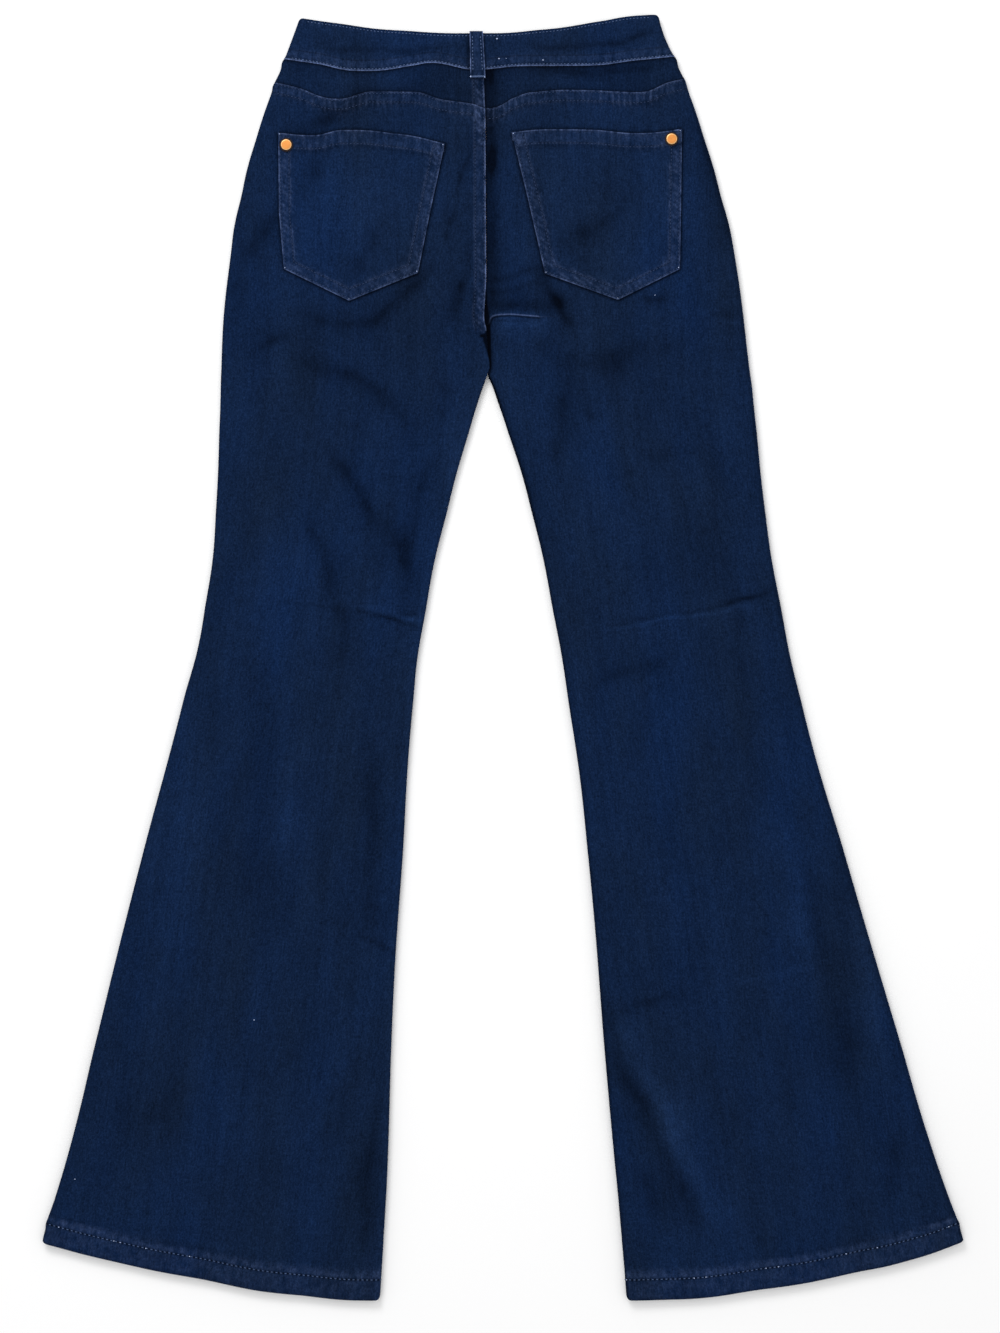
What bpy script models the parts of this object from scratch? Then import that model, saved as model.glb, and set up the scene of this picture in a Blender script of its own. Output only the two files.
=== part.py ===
"""Flared jeans laid flat on their front, with the back face up.

Metres, +Z up out of the surface that they lie on, +Y towards the waist. The origin is the middle of
that surface, under the jeans. Left and right are the wearer's. Named sizes and tables are in millimetres.
"""

import math
from collections import namedtuple

import bmesh
import bpy
import numpy as np
from mathutils import Vector

MM = 0.001

# Walls and clearances
CLOTH = 1.2  # one layer of denim
BAND_CLOTH = 2.0  # the waistband is folded double
LAP = 0.8  # how far a felled seam or a hem stands over the cloth beside it
BAND_RISE = 0.9  # how far the waistband stands over the yokes
GAP = 0.3  # between two pieces

# How the cloth lies
RADIUS = 2.8  # the turn from the back pieces to the front ones, at side seams and inseams
LIE = 4.6  # height of the back's face where it lies smooth
EDGE_REACH = 12.0  # how far in from a turned edge its fullness fades
CLOSURE_FULLNESS = 0.9  # how far the fly and the button lift the back over them
CLOSURE_Y = 440.0  # the middle of that lift, and its reach across and along
CLOSURE_ACROSS = 60.0
CLOSURE_ALONG = 100.0
CENTRE_X = -16.5  # the centre seam, down to the seat
CROTCH_Y = 249.0
LEG_TOP_ROW = 464.0  # the first level row, clear of the seams above it
INSEAM_START = 20.0  # the inner edges start to turn over within this length below the crotch

# Seams and hems
FELL_WIDTH = 10.0  # felled band under the yoke seam and beside the centre seam
HEM_DEPTH = 17.6
LAP_STEP = 0.8  # length over which a lap steps down to the cloth beside it
POCKET_HEM = 13.0
CORNER = 6.0  # rounding of the waistband's top corners
BAND_LEVEL = 530.0  # a height in the waistband, where the centre seam would cross it
BAND_CORNER_Y = 565.0  # height of its top corners
BAND_SHARES = (0.0, 0.33, 0.67, 0.9, 1.0)  # rows up the waistband, closer at its round top corners

# The closure on the front
FLY_END_Y = 318.0
FLY_LEFT = 34.0  # the lap's width on each side of the centre seam
FLY_RIGHT = 10.0
FLY_CLOTH = 1.0
FLY_CLEARANCE = 1.5  # the front panels start to step down this far past the fly
FLY_STEP = 8.0  # and step down over this length
FLY_ROUNDING = 0.98  # the share of a quarter turn in the fly's round lower end
ZIP_START_Y = FLY_END_Y + 8.0  # the zip's lower end
OPENING_EASE = 6.0  # length over which the front panels' edges part to make room for it
ZIP_WIDTH = 24.0
ZIP_CLOTH = 0.8
ZIP_RIB = 0.6  # the closed teeth over their tape
ZIP_RIB_WIDTH = 6.0
ZIP_RIB_SLOPE = 0.6
BUTTON_RADIUS = 8.5
BUTTON_HEIGHT = 1.2
BUTTON_ASIDE = 1.5  # the button's middle is this far left of the centre seam
BUTTON_CLEARANCE = 5.0  # the waistband starts to step down this far outside the button
BUTTON_STEP = 11.0
BUTTON_RIM = 2.0  # the flat rim's width round the button's dish
BUTTON_DISH = 0.35
FRONT_COLUMNS = 6  # even columns in the middle of a front panel
BACK_EVEN_COLUMNS = 8
POCKET_COLUMNS = 5  # on each side of a pocket's point
POCKET_ROWS = 6
ROUND_STEPS = 20

RIVET_RADIUS = 5.2
RIVET_HEIGHT = 1.1
LOOP_CLOTH = 1.3
LOOP_RADIUS = 2.1  # the loop's turn over the waistband's top edge
LOOP_SLACK = 1.2

SETTLING = 6  # passes in which a point's place across and its row's height agree

Section = namedtuple("Section", "place y side_left inner_left inner_right side_right")
SECTIONS = [
    Section("band top", 566.0, -178.0, CENTRE_X, CENTRE_X, 136.5),
    Section("waist", 552.5, -183.0, CENTRE_X, CENTRE_X, 140.0),
    Section("under band", 524.0, -193.5, CENTRE_X, CENTRE_X, 152.5),
    Section("pocket top", 455.5, -218.0, CENTRE_X, CENTRE_X, 177.5),
    Section("high hip", 407.0, -230.5, CENTRE_X, CENTRE_X, 191.5),
    Section("hip", 359.0, -239.5, CENTRE_X, CENTRE_X, 203.0),
    Section("crotch", CROTCH_Y, -248.5, -14.0, -14.0, 217.5),
    Section("inseam top", 239.0, -248.8, -17.5, -9.5, 219.0),
    Section("under crotch", 228.5, -249.0, -21.0, -6.0, 220.0),
    Section("thigh", 200.5, -250.0, -29.5, 3.5, 223.0),
    Section("mid thigh", 130.0, -253.0, -49.0, 24.5, 230.5),
    Section("knee", 42.0, -263.0, -68.0, 43.5, 245.0),
    Section("flare", -37.0, -281.5, -79.0, 57.0, 262.0),
    Section("calf", -169.0, -316.5, -88.0, 74.0, 299.5),
    Section("shin", -345.0, -360.5, -98.5, 89.0, 351.5),
    Section("ankle", -429.0, -381.0, -101.0, 96.5, 376.5),
    Section("hem side", -508.0, -404.5, -105.0, 104.0, 404.0),
    Section("hem bottom", -565.5, -420.0, -108.5, 108.5, 422.5),
]

# Edges that run across the jeans, as heights along x
Point = namedtuple("Point", "x y")
BAND_TOP = [
    Point(-177, 562.5), Point(-144, 558), Point(-91, 552), Point(-20.5, 549.5), Point(32, 552.5),
    Point(85, 560), Point(125, 565.4), Point(136.5, 565.7),
]
BAND_BOTTOM = [
    Point(-192, 526.5), Point(-163, 522.5), Point(-124, 516.3), Point(-79, 521.2), Point(-62, 523.4),
    Point(-25, 517.2), Point(15, 520.5), Point(71, 521), Point(114, 525.3), Point(152, 529),
]
FRONT_BAND_TOP = [Point(-177, 562.5), Point(-120, 534), Point(-20, 513), Point(80, 536), Point(136.5, 565.2)]
FRONT_BAND_BOTTOM = [Point(-192, 526.5), Point(-130, 499), Point(-20, 479), Point(92, 500), Point(152, 529)]
YOKE_SEAM = [
    Point(-200, 506), Point(-181, 501.7), Point(-144, 491.7), Point(-116, 498.2), Point(-79, 497.9),
    Point(-55, 491.3), Point(-27, 487.3), Point(-13, 483.4), Point(10, 492.8), Point(28, 497.6),
    Point(66, 499.6), Point(119, 497.6), Point(145, 506.2), Point(160, 509.5),
]
HEM = [
    Point(-406, -515), Point(-346, -530.5), Point(-267, -546.5), Point(-179, -561), Point(-108, -565.5),
    Point(109, -565.5), Point(138, -565), Point(226, -556), Point(314, -540), Point(358, -530),
    Point(406, -513.3),
]

# Back pockets: the top edge from left to right, then the three lower corners
Pocket = namedtuple("Pocket", "side top left_edge right_edge point")
POCKETS = [
    Pocket(
        "left",
        [Point(-198, 461.8), Point(-166, 459.6), Point(-142, 464.1), Point(-95, 460.9), Point(-51.3, 452.1)],
        [Point(-198, 461.8), Point(-197.3, 391), Point(-193, 342)],
        [Point(-51.3, 452.1), Point(-64.5, 391), Point(-75, 338.6)],
        Point(-135.7, 314),
    ),
    Pocket(
        "right",
        [Point(7.3, 462), Point(43.8, 464.7), Point(78, 464.4), Point(116, 461.4), Point(157.3, 465)],
        [Point(7.3, 462), Point(20.9, 407), Point(36.7, 338)],
        [Point(157.3, 465), Point(156.5, 400), Point(155.5, 342)],
        Point(101, 314.8),
    ),
]
LOOP_LEFT = [Point(-29.6, 550), Point(-28.9, 509.7)]
LOOP_RIGHT = [Point(-17.8, 550), Point(-15.6, 509.7)]
RIVETS = {"left": Point(-190.8, 451.0), "right": Point(148.1, 456.1)}

# The largest folds: soft ridges and troughs along a line, faded at both ends
Fold = namedtuple("Fold", "place x0 y0 x1 y1 width height")
FOLDS = [
    Fold("crotch fold", -8, 296, 40, 296, 7, 2.0),
    Fold("over crotch fold", -6, 309, 38, 310, 6, -1.2),
    Fold("pocket to crotch, right", 42, 324, 53, 292, 6, -1.3),
    Fold("beside centre seam", -8, 478, -8, 320, 6, -0.8),
    Fold("seat pleat, left", -32, 350, -41, 314, 6, -1.1),
    Fold("under pocket, left", -92, 299, -52, 328, 9, -1.0),
    Fold("high thigh, left", -182, 270, -114, 240, 9, -1.3),
    Fold("side of seat, left", -217, 265, -186, 290, 9, -0.9),
    Fold("thigh diagonal, left", -142, 167, -100, 112, 9, -1.3),
    Fold("inner thigh, left", -83, 222, -88, 64, 8, -1.0),
    Fold("knee, left", -132, 37, -76, 32, 6, 1.3),
    Fold("high thigh, right", 62, 248, 134, 268, 10, -0.9),
    Fold("inner thigh, right", 55, 228, 51, 172, 10, -0.7),
    Fold("knee, right", 92, 21, 238, 53, 6, 1.4),
    Fold("under knee, right", 76, -28, 130, -12, 9, -0.9),
    Fold("flare ridge, right", 114, -312, 199, -498, 12, 1.3),
    Fold("flare trough, right", 120, -372, 172, -502, 9, -1.2),
    Fold("outer trough, right", 268, -160, 321, -380, 13, -1.2),
    Fold("outer ridge, right", 239, -178, 288, -372, 16, 0.8),
    Fold("outer ridge, left", -278, -64, -311, -240, 17, 0.9),
    Fold("calf ridge, left", -181, -72, -195, -178, 13, 0.9),
    Fold("inner trough, left", -122, -72, -116, -504, 15, -0.8),
]

# Rows down a leg: level lines, evenly spaced until the height is reached
Rows = namedtuple("Rows", "place until back_step front_step")
LEG_ROWS = [
    Rows("pocket", ZIP_START_Y, 23.0, 35.0),
    Rows("fly end", FLY_END_Y - 12, 10.0, 7.0),
    Rows("seat", CROTCH_Y + 16, 10.0, 20.0),
    Rows("crotch", CROTCH_Y - 24, 8.0, 8.0),
    Rows("thigh", 66, 23.0, 40.0),
    Rows("knee", -2, 9.0, 34.0),
    Rows("flare", -478, 40.0, 60.0),
]

DENIM_COLOUR = (0.0060, 0.0150, 0.0440)
FOLDED_DENIM_COLOUR = (0.0090, 0.0210, 0.0560)
ZIP_COLOUR = (0.0050, 0.0110, 0.0300)
COPPER_COLOUR = (0.8000, 0.3300, 0.1100)


def within(share):
    """The share, kept between 0 and 1."""
    return min(max(share, 0.0), 1.0)


def curve(points):
    """A smooth function through (place, value) pairs that doesn't overshoot between them."""
    points = sorted(points)
    place = np.array([p[0] for p in points], float)
    value = np.array([p[1] for p in points], float)
    length = np.diff(place)
    rise = np.diff(value) / length
    slope = np.zeros(len(points))
    slope[0], slope[-1] = rise[0], rise[-1]
    for i in range(1, len(points) - 1):
        if rise[i - 1] * rise[i] > 0:
            slope[i] = 2 * rise[i - 1] * rise[i] / (rise[i - 1] + rise[i])

    def at(where):
        i = int(np.clip(np.searchsorted(place, where) - 1, 0, len(length) - 1))
        t = within((where - place[i]) / length[i])
        start = value[i] + t * length[i] * slope[i]
        end = value[i + 1] - (1 - t) * length[i] * slope[i + 1]
        return start + t * t * (3 - 2 * t) * (end - start)

    return at


def chain(points, key, value):
    """Straight runs through the points."""
    order = sorted(points, key=lambda p: getattr(p, key))
    places = [getattr(p, key) for p in order]
    values = [getattr(p, value) for p in order]
    return lambda where: float(np.interp(where, places, values))


def ease(value, start, end):
    """0 before start, 1 after end, and smooth between them."""
    t = within((value - start) / (end - start))
    return t * t * (3 - 2 * t)


def mix(a, b, share):
    return a + share * (b - a)


side = {
    "left": curve([(s.y, s.side_left) for s in SECTIONS]),
    "right": curve([(s.y, s.side_right) for s in SECTIONS]),
}
centre_seam = curve([(s.y, s.inner_left) for s in SECTIONS if s.y >= CROTCH_Y])
inseam = {
    "left": curve([(s.y, s.inner_left) for s in SECTIONS if s.y <= CROTCH_Y]),
    "right": curve([(s.y, s.inner_right) for s in SECTIONS if s.y <= CROTCH_Y]),
}


def inner_left(y):
    """The left legs' inner edge: the centre seam down to the crotch, then the inseam."""
    return (centre_seam(y) if y > CROTCH_Y else inseam["left"](y)) - GAP / 2


def inner_right(y):
    return (centre_seam(y) if y > CROTCH_Y else inseam["right"](y)) + GAP / 2


band_bottom = curve(BAND_BOTTOM)
front_band_bottom = curve(FRONT_BAND_BOTTOM)
yoke_seam = curve(YOKE_SEAM)
hem = curve(HEM)


def with_round_corners(edge, y_at_ends):
    """The edge, dropping round a corner at each side seam."""

    def at(x):
        y = edge(x)
        near = min(x - side["left"](y_at_ends), side["right"](y_at_ends) - x)
        short = max(CORNER - max(near, 0.0), 0.0)
        return y - CORNER + math.sqrt(CORNER**2 - short**2)

    return at


band_top = with_round_corners(curve(BAND_TOP), BAND_CORNER_Y)
front_band_top = with_round_corners(curve(FRONT_BAND_TOP), BAND_CORNER_Y)


def fold_height(x, y):
    """How far the folds raise or lower the cloth at a point."""
    height = 0.0
    for fold in FOLDS:
        along_x, along_y = fold.x1 - fold.x0, fold.y1 - fold.y0
        length = math.hypot(along_x, along_y)
        along = ((x - fold.x0) * along_x + (y - fold.y0) * along_y) / length
        across = ((x - fold.x0) * along_y - (y - fold.y0) * along_x) / length
        past = max(-along, along - length, 0.0)
        height += fold.height * math.exp(-((across / fold.width) ** 2) - (past / fold.width) ** 2)
    return height


def lie(x, y):
    """Height of the back's plain face, away from its edges."""
    across, along = (x - CENTRE_X) / CLOSURE_ACROSS, (y - CLOSURE_Y) / CLOSURE_ALONG
    return LIE + CLOSURE_FULLNESS * math.exp(-(across**2) - along**2) + fold_height(x, y)


# Where a point of a piece is: its place, and its distances from the piece's left and right edges
Spot = namedtuple("Spot", "x y from_left from_right")

# How far a piece's left and right edges turn over: 0 for a flat edge, 1 for a whole half-round
Turn = namedtuple("Turn", "left right")


def turned(distance):
    """How far a round turned edge has dropped at a distance in from it."""
    short = max(RADIUS - distance, 0.0)
    return RADIUS - math.sqrt(max(RADIUS**2 - short**2, 0.0))


def edge_drop(spot, turn):
    """How far the face has dropped. A part-turned edge drops a little less, to leave its wall room."""
    drop = 0.0
    for distance, share in ((spot.from_left, turn.left), (spot.from_right, turn.right)):
        drop += share * (1 - share * (1 - share)) * turned(distance)
    return drop


def outward(spot, turn):
    """The cloth's outward direction: straight out of the face, and sideways at a turned edge."""
    sideways = turn.right * within(1 - spot.from_right / RADIUS)
    sideways -= turn.left * within(1 - spot.from_left / RADIUS)
    return Vector((sideways, 0.0, math.sqrt(1 - sideways**2)))


def back_face(spot, rise, turn):
    """Outer height on the back: smooth and full in the middle, turned over at its edges."""
    height = lie(spot.x, spot.y) + rise
    for distance, share in ((spot.from_left, turn.left), (spot.from_right, turn.right)):
        near = math.exp(-((max(distance - RADIUS, 0.0) / EDGE_REACH) ** 2))
        height = mix(height, 2 * RADIUS + GAP, near * share)
    return height - edge_drop(spot, turn)


def standing(spot, turn):
    """The share of a lap's height that it keeps as its edge turns over."""
    return 1 - edge_drop(spot, turn) / RADIUS


def lap_beside(distance, width):
    """1 on a lap of this width along an edge, 0 beyond its step."""
    return within((width + LAP_STEP - distance) / LAP_STEP)


# Rows are functions of x that give y. Columns are functions of a row's two ends that give x.
def level(y):
    return lambda x: y


def below(edge, depth):
    return lambda x: edge(x) - depth


def between(low, high, share):
    return lambda x: mix(low(x), high(x), share)


def leg_levels(step):
    """A leg's level rows from the top down, by one of the table's columns of steps."""
    heights = [LEG_TOP_ROW]
    for part in LEG_ROWS:
        count = round((heights[-1] - part.until) / getattr(part, step))
        heights += list(np.linspace(heights[-1], part.until, count + 1))[1:]
    return [level(y) for y in heights]


def columns(first, count, last):
    """Columns at fixed distances in from the left and right edges, with even steps between them."""
    made = [lambda left, right, d=d: left + d for d in first]
    for i in range(1, count):
        share = i / count
        made.append(lambda left, right, s=share: mix(left + first[-1], right - last[-1], s))
    return made + [lambda left, right, d=d: right - d for d in reversed(last)]


# Distances in from a turned edge, closer together where it is steeper
TURN_STEPS = [RADIUS * (1 - math.cos(math.radians(angle))) for angle in (0, 35, 65, 90)]


def add_object(name, mesh, colour, metallic=0.0, roughness=0.85):
    mesh.update()
    obj = bpy.data.objects.new(name, mesh)
    garment.objects.link(obj)
    material = bpy.data.materials.new(name)
    material.use_nodes = True
    shader = material.node_tree.nodes["Principled BSDF"]
    shader.inputs["Base Color"].default_value = (*colour, 1.0)
    shader.inputs["Metallic"].default_value = metallic
    shader.inputs["Roughness"].default_value = roughness
    mesh.materials.append(material)
    return obj


def straight_out(spot):
    return Vector((0.0, 0.0, 1.0))


def cloth_piece(name, left, right, rows, across, face, wall, colour, facing=straight_out, inside=-1):
    """A grid laid out by its rows and columns and extruded into a wall: one side takes the face's height,
    the other lies a wall's thickness inside it.

    rows run from the lowest y up. At a spot, face gives the outer height, wall the thickness and facing
    the outward direction. inside is -1 where the wall hangs under its face, and 1 where it stands on it.
    """
    grid = bmesh.new()
    last_column, last_row = len(across) - 1, len(rows) - 1
    bmesh.ops.create_grid(grid, x_segments=last_column, y_segments=last_row, size=0.5)
    extruded = bmesh.ops.extrude_face_region(grid, geom=grid.faces[:], use_keep_orig=True)["geom"]
    lining = {item for item in extruded if isinstance(item, bmesh.types.BMVert)}
    for vert in grid.verts:
        column = across[round((vert.co.x + 0.5) * last_column)]
        row = rows[round((vert.co.y + 0.5) * last_row)]
        y = row((left(0.0) + right(0.0)) / 2)
        for _ in range(SETTLING):
            x = column(left(y), right(y))
            y = row(x)
        spot = Spot(x, y, x - left(y), right(y) - x)
        place = Vector((x, y, face(spot)))
        if vert in lining:
            out = facing(spot)
            place += Vector((-out.x, -out.y, inside * out.z)) * float(wall(spot))
        vert.co = place * MM
    bmesh.ops.recalc_face_normals(grid, faces=grid.faces[:])
    mesh = bpy.data.meshes.new(name)
    grid.to_mesh(mesh)
    grid.free()
    return add_object(name, mesh, colour)


# The columns of each half of the back. Pieces that meet share them, so that their edges match.
LAPPED = [*TURN_STEPS, FELL_WIDTH, FELL_WIDTH + LAP_STEP]
BACK_COLUMNS = {
    "left": columns(TURN_STEPS, BACK_EVEN_COLUMNS, LAPPED),
    "right": columns(LAPPED, BACK_EVEN_COLUMNS, TURN_STEPS),
}
BACK_EDGES = {"left": (side["left"], inner_left), "right": (inner_right, side["right"])}


def leg_turn(name, spot):
    """A leg's side edge is turned all the way down, its inner edge only along the inseam."""
    share = 1 - ease(spot.y, CROTCH_Y - INSEAM_START, CROTCH_Y)
    return Turn(1.0, share) if name == "left" else Turn(share, 1.0)


def back_height(name, x, y):
    """Height of the back panel's plain face under what lies on it."""
    left, right = BACK_EDGES[name]
    spot = Spot(x, y, x - left(y), right(y) - x)
    return back_face(spot, 0.0, leg_turn(name, spot))


def back_leg(name):
    """A back panel: felled band along the yoke seam, hem, and on the left the lap along the centre seam."""
    down = [
        *(below(yoke_seam, depth) for depth in (0.0, FELL_WIDTH, FELL_WIDTH + LAP_STEP)),
        *leg_levels("back_step"),
        *(below(hem, -height) for height in (HEM_DEPTH + LAP_STEP, HEM_DEPTH, 0.0)),
    ]

    def lap(spot):
        turn = leg_turn(name, spot)
        top = lap_beside(yoke_seam(spot.x) - spot.y, FELL_WIDTH)
        bottom = lap_beside(spot.y - hem(spot.x), HEM_DEPTH)
        centre = lap_beside(spot.from_right, FELL_WIDTH) * (1 - turn.right)
        return LAP * max(top, bottom, centre) * standing(spot, turn)

    cloth_piece(
        f"back_leg_{name}", *BACK_EDGES[name], down[::-1], BACK_COLUMNS[name],
        lambda spot: back_face(spot, lap(spot), leg_turn(name, spot)),
        lambda spot: CLOTH + lap(spot), DENIM_COLOUR,
        lambda spot: outward(spot, leg_turn(name, spot)),
    )


def yoke(name):
    """A yoke between the waistband's lower edge and the leg's felled band."""
    is_left = name == "left"
    low, high = below(yoke_seam, -GAP), below(band_bottom, GAP)
    turn = Turn(1.0, 0.0) if is_left else Turn(0.0, 1.0)

    def lap(spot):
        return LAP * lap_beside(spot.from_right, FELL_WIDTH) if is_left else 0.0

    cloth_piece(
        f"yoke_{name}", *BACK_EDGES[name],
        [between(low, high, share) for share in np.linspace(0, 1, 4)], BACK_COLUMNS[name],
        lambda spot: back_face(spot, lap(spot), turn),
        lambda spot: CLOTH + lap(spot), DENIM_COLOUR,
        lambda spot: outward(spot, turn),
    )


def waistband_back():
    """The back of the waistband in one length, on the columns of both halves."""
    turn = Turn(1.0, 1.0)
    end_left, end_right = inner_left(BAND_LEVEL), inner_right(BAND_LEVEL)
    across = [lambda low, high, at=at: at(low, end_left) for at in BACK_COLUMNS["left"]]
    across += [lambda low, high, at=at: at(end_right, high) for at in BACK_COLUMNS["right"][1:]]
    cloth_piece(
        "waistband_back", side["left"], side["right"],
        [between(band_bottom, band_top, share) for share in BAND_SHARES],
        across,
        lambda spot: back_face(spot, BAND_RISE, turn),
        lambda spot: BAND_CLOTH, FOLDED_DENIM_COLOUR,
        lambda spot: outward(spot, turn),
    )


# Distances from the zip's edge to where a front panel has its step down from the fly
OFF_FLY = FLY_LEFT - ZIP_WIDTH / 2 + FLY_CLEARANCE
BESIDE_ZIP = [OFF_FLY, OFF_FLY + FLY_STEP]


def button_centre():
    x = CENTRE_X - BUTTON_ASIDE
    return Point(x, (front_band_top(x) + front_band_bottom(x)) / 2)


def waistband_front(name):
    """Half of the front waistband, held off the surface round the button. The ends meet beside it."""
    is_left = name == "left"
    join = CENTRE_X + ZIP_WIDTH / 2
    clear = BUTTON_RADIUS + BUTTON_CLEARANCE
    left = side["left"] if is_left else level(join + GAP / 2)
    right = level(join - GAP / 2) if is_left else side["right"]
    over_zip = [share * (ZIP_WIDTH + GAP / 2) for share in (0.0, 0.35, 0.7, 1.0)]
    beside_zip = [ZIP_WIDTH + GAP / 2 + aside for aside in BESIDE_ZIP]
    left_columns = columns(TURN_STEPS, FRONT_COLUMNS, over_zip + beside_zip)
    right_columns = columns([0.0, *BESIDE_ZIP], FRONT_COLUMNS, TURN_STEPS)
    turn = Turn(1.0, 0.0) if is_left else Turn(0.0, 1.0)

    def face(spot):
        distance = math.hypot(spot.x - button_centre().x, spot.y - button_centre().y)
        over_button = 1 - ease(distance, clear, clear + BUTTON_STEP)
        return (BUTTON_HEIGHT + GAP) * over_button + edge_drop(spot, turn)

    cloth_piece(
        f"waistband_front_{name}", left, right,
        [between(front_band_bottom, front_band_top, share) for share in np.linspace(0, 1, 5)],
        left_columns if is_left else right_columns, face,
        lambda spot: BAND_CLOTH, FOLDED_DENIM_COLOUR,
        lambda spot: outward(spot, turn), inside=1,
    )


def front_leg(name):
    """A front panel, flat on the surface but where it passes over the fly, with its edges turned up.

    Above the fly's end its inner edge stands back from the centre seam, to make room for the zip.
    """
    is_left = name == "left"

    def open_inner(y):
        back = (ZIP_WIDTH + GAP) / 2 * ease(y, FLY_END_Y, FLY_END_Y + OPENING_EASE)
        return inner_left(y) - back if is_left else inner_right(y) + back

    left = side["left"] if is_left else open_inner
    right = open_inner if is_left else side["right"]
    beside = [*TURN_STEPS, *BESIDE_ZIP]
    first, last = (TURN_STEPS, beside) if is_left else (beside, TURN_STEPS)
    across = columns(first, FRONT_COLUMNS, last)
    down = [
        below(front_band_bottom, GAP),
        *leg_levels("front_step"),
        *(below(hem, -height) for height in (HEM_DEPTH + LAP_STEP, HEM_DEPTH, 0.0)),
    ]

    def face(spot):
        aside = abs(spot.x - centre_seam(spot.y))
        past_side = ease(aside, FLY_LEFT + FLY_CLEARANCE, FLY_LEFT + FLY_CLEARANCE + FLY_STEP)
        past_end = ease(FLY_END_Y - spot.y, FLY_CLEARANCE, FLY_CLEARANCE + FLY_STEP)
        over_fly = (1 - past_side) * (1 - past_end)
        return (FLY_CLOTH + GAP) * over_fly + edge_drop(spot, leg_turn(name, spot))

    def wall(spot):
        in_hem = lap_beside(spot.y - hem(spot.x), HEM_DEPTH)
        return CLOTH + LAP * in_hem * standing(spot, leg_turn(name, spot))

    cloth_piece(
        f"front_leg_{name}", left, right, down[::-1], across, face, wall, DENIM_COLOUR,
        lambda spot: outward(spot, leg_turn(name, spot)), inside=1,
    )


def fly():
    """The lap that covers the zip: straight at its free edge and round at its lower end."""
    left = centre_seam(FLY_END_Y) - FLY_LEFT
    right = centre_seam(FLY_END_Y) + FLY_RIGHT

    def lower_end(x):
        share = FLY_ROUNDING * within((right - x) / (right - left))
        return FLY_END_Y + FLY_LEFT * (1 - math.sqrt(1 - share**2))

    cloth_piece(
        "fly", level(left), level(right),
        [between(lower_end, below(front_band_bottom, GAP), share) for share in np.linspace(0, 1, 5)],
        columns([0.0, 2.0, 6.0], 5, [0.0]),
        lambda spot: 0.0, lambda spot: FLY_CLOTH, DENIM_COLOUR, inside=1,
    )


def zip_tape():
    """The zip's tape between the front panels' edges, with its closed teeth as one low rib."""
    middle = CENTRE_X
    half = (ZIP_WIDTH - GAP) / 2
    rib_edge = half - ZIP_RIB_WIDTH / 2
    rib = [0.0, rib_edge, rib_edge + ZIP_RIB_SLOPE]

    def wall(spot):
        on_rib = min(spot.from_left, spot.from_right) > rib_edge + ZIP_RIB_SLOPE / 2
        return ZIP_CLOTH + ZIP_RIB * on_rib

    cloth_piece(
        "zip", level(middle - half), level(middle + half),
        [between(level(ZIP_START_Y), below(front_band_bottom, GAP), share) for share in (0.0, 0.5, 1.0)],
        columns(rib, 1, rib),
        lambda spot: FLY_CLOTH + GAP, wall, ZIP_COLOUR, inside=1,
    )


def back_pocket(pocket):
    """A five-sided patch, made from the back panel's own heights moved out."""
    left = chain(pocket.left_edge, "y", "x")
    right = chain(pocket.right_edge, "y", "x")
    top = curve(pocket.top)
    low_left, low_right = pocket.left_edge[-1], pocket.right_edge[-1]
    bottom = chain([low_left, pocket.point, low_right], "x", "y")
    point_share = (pocket.point.x - low_left.x) / (low_right.x - low_left.x)
    there = np.linspace(0, 1, POCKET_COLUMNS + 1)
    shares = [*(point_share * there), *mix(point_share, 1, there[1:])]
    across = [lambda low, high, s=s: mix(low, high, s) for s in shares]
    under_hem = below(top, POCKET_HEM + LAP_STEP)
    rows = [between(bottom, under_hem, share) for share in np.linspace(0, 1, POCKET_ROWS + 1)]
    rows += [below(top, POCKET_HEM), top]

    def hem_lap(spot):
        return LAP * lap_beside(top(spot.x) - spot.y, POCKET_HEM)

    cloth_piece(
        f"back_pocket_{pocket.side}", left, right, rows, across,
        lambda spot: back_height(pocket.side, spot.x, spot.y) + GAP + CLOTH + hem_lap(spot),
        lambda spot: CLOTH + hem_lap(spot), FOLDED_DENIM_COLOUR,
    )


def belt_loop():
    """A strap over the waistband, turned over its top edge and sewn down on the yoke."""
    left = chain(LOOP_LEFT, "y", "x")
    right = chain(LOOP_RIGHT, "y", "x")
    band_edge = band_top((LOOP_LEFT[0].x + LOOP_RIGHT[0].x) / 2)
    turn_y = band_edge - GAP
    steps = [turn_y + LOOP_RADIUS * math.cos(math.radians(angle)) for angle in (0, 30, 60, 90)]

    def height_of_turn(y):
        return LOOP_RADIUS * (math.sqrt(1 - within((y - turn_y) / LOOP_RADIUS) ** 2) - 1)

    bottom = LOOP_LEFT[-1].y
    strap = [level(y) for y in np.linspace(bottom, turn_y, 8)[:-1]] + [level(y) for y in reversed(steps)]

    def face(spot):
        over_band = lie(spot.x, min(spot.y, band_edge)) + BAND_RISE + LOOP_CLOTH + GAP
        slack = LOOP_SLACK * math.sin(math.pi * within((turn_y - spot.y) / (turn_y - bottom)))
        return over_band + slack + height_of_turn(spot.y)

    def facing(spot):
        forward = within((spot.y - turn_y) / LOOP_RADIUS)
        return Vector((0.0, forward, math.sqrt(1 - forward**2)))

    cloth_piece(
        "belt_loop_back", left, right, strap, columns([0.0], 3, [0.0]), face,
        lambda spot: LOOP_CLOTH, FOLDED_DENIM_COLOUR, facing,
    )


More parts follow.
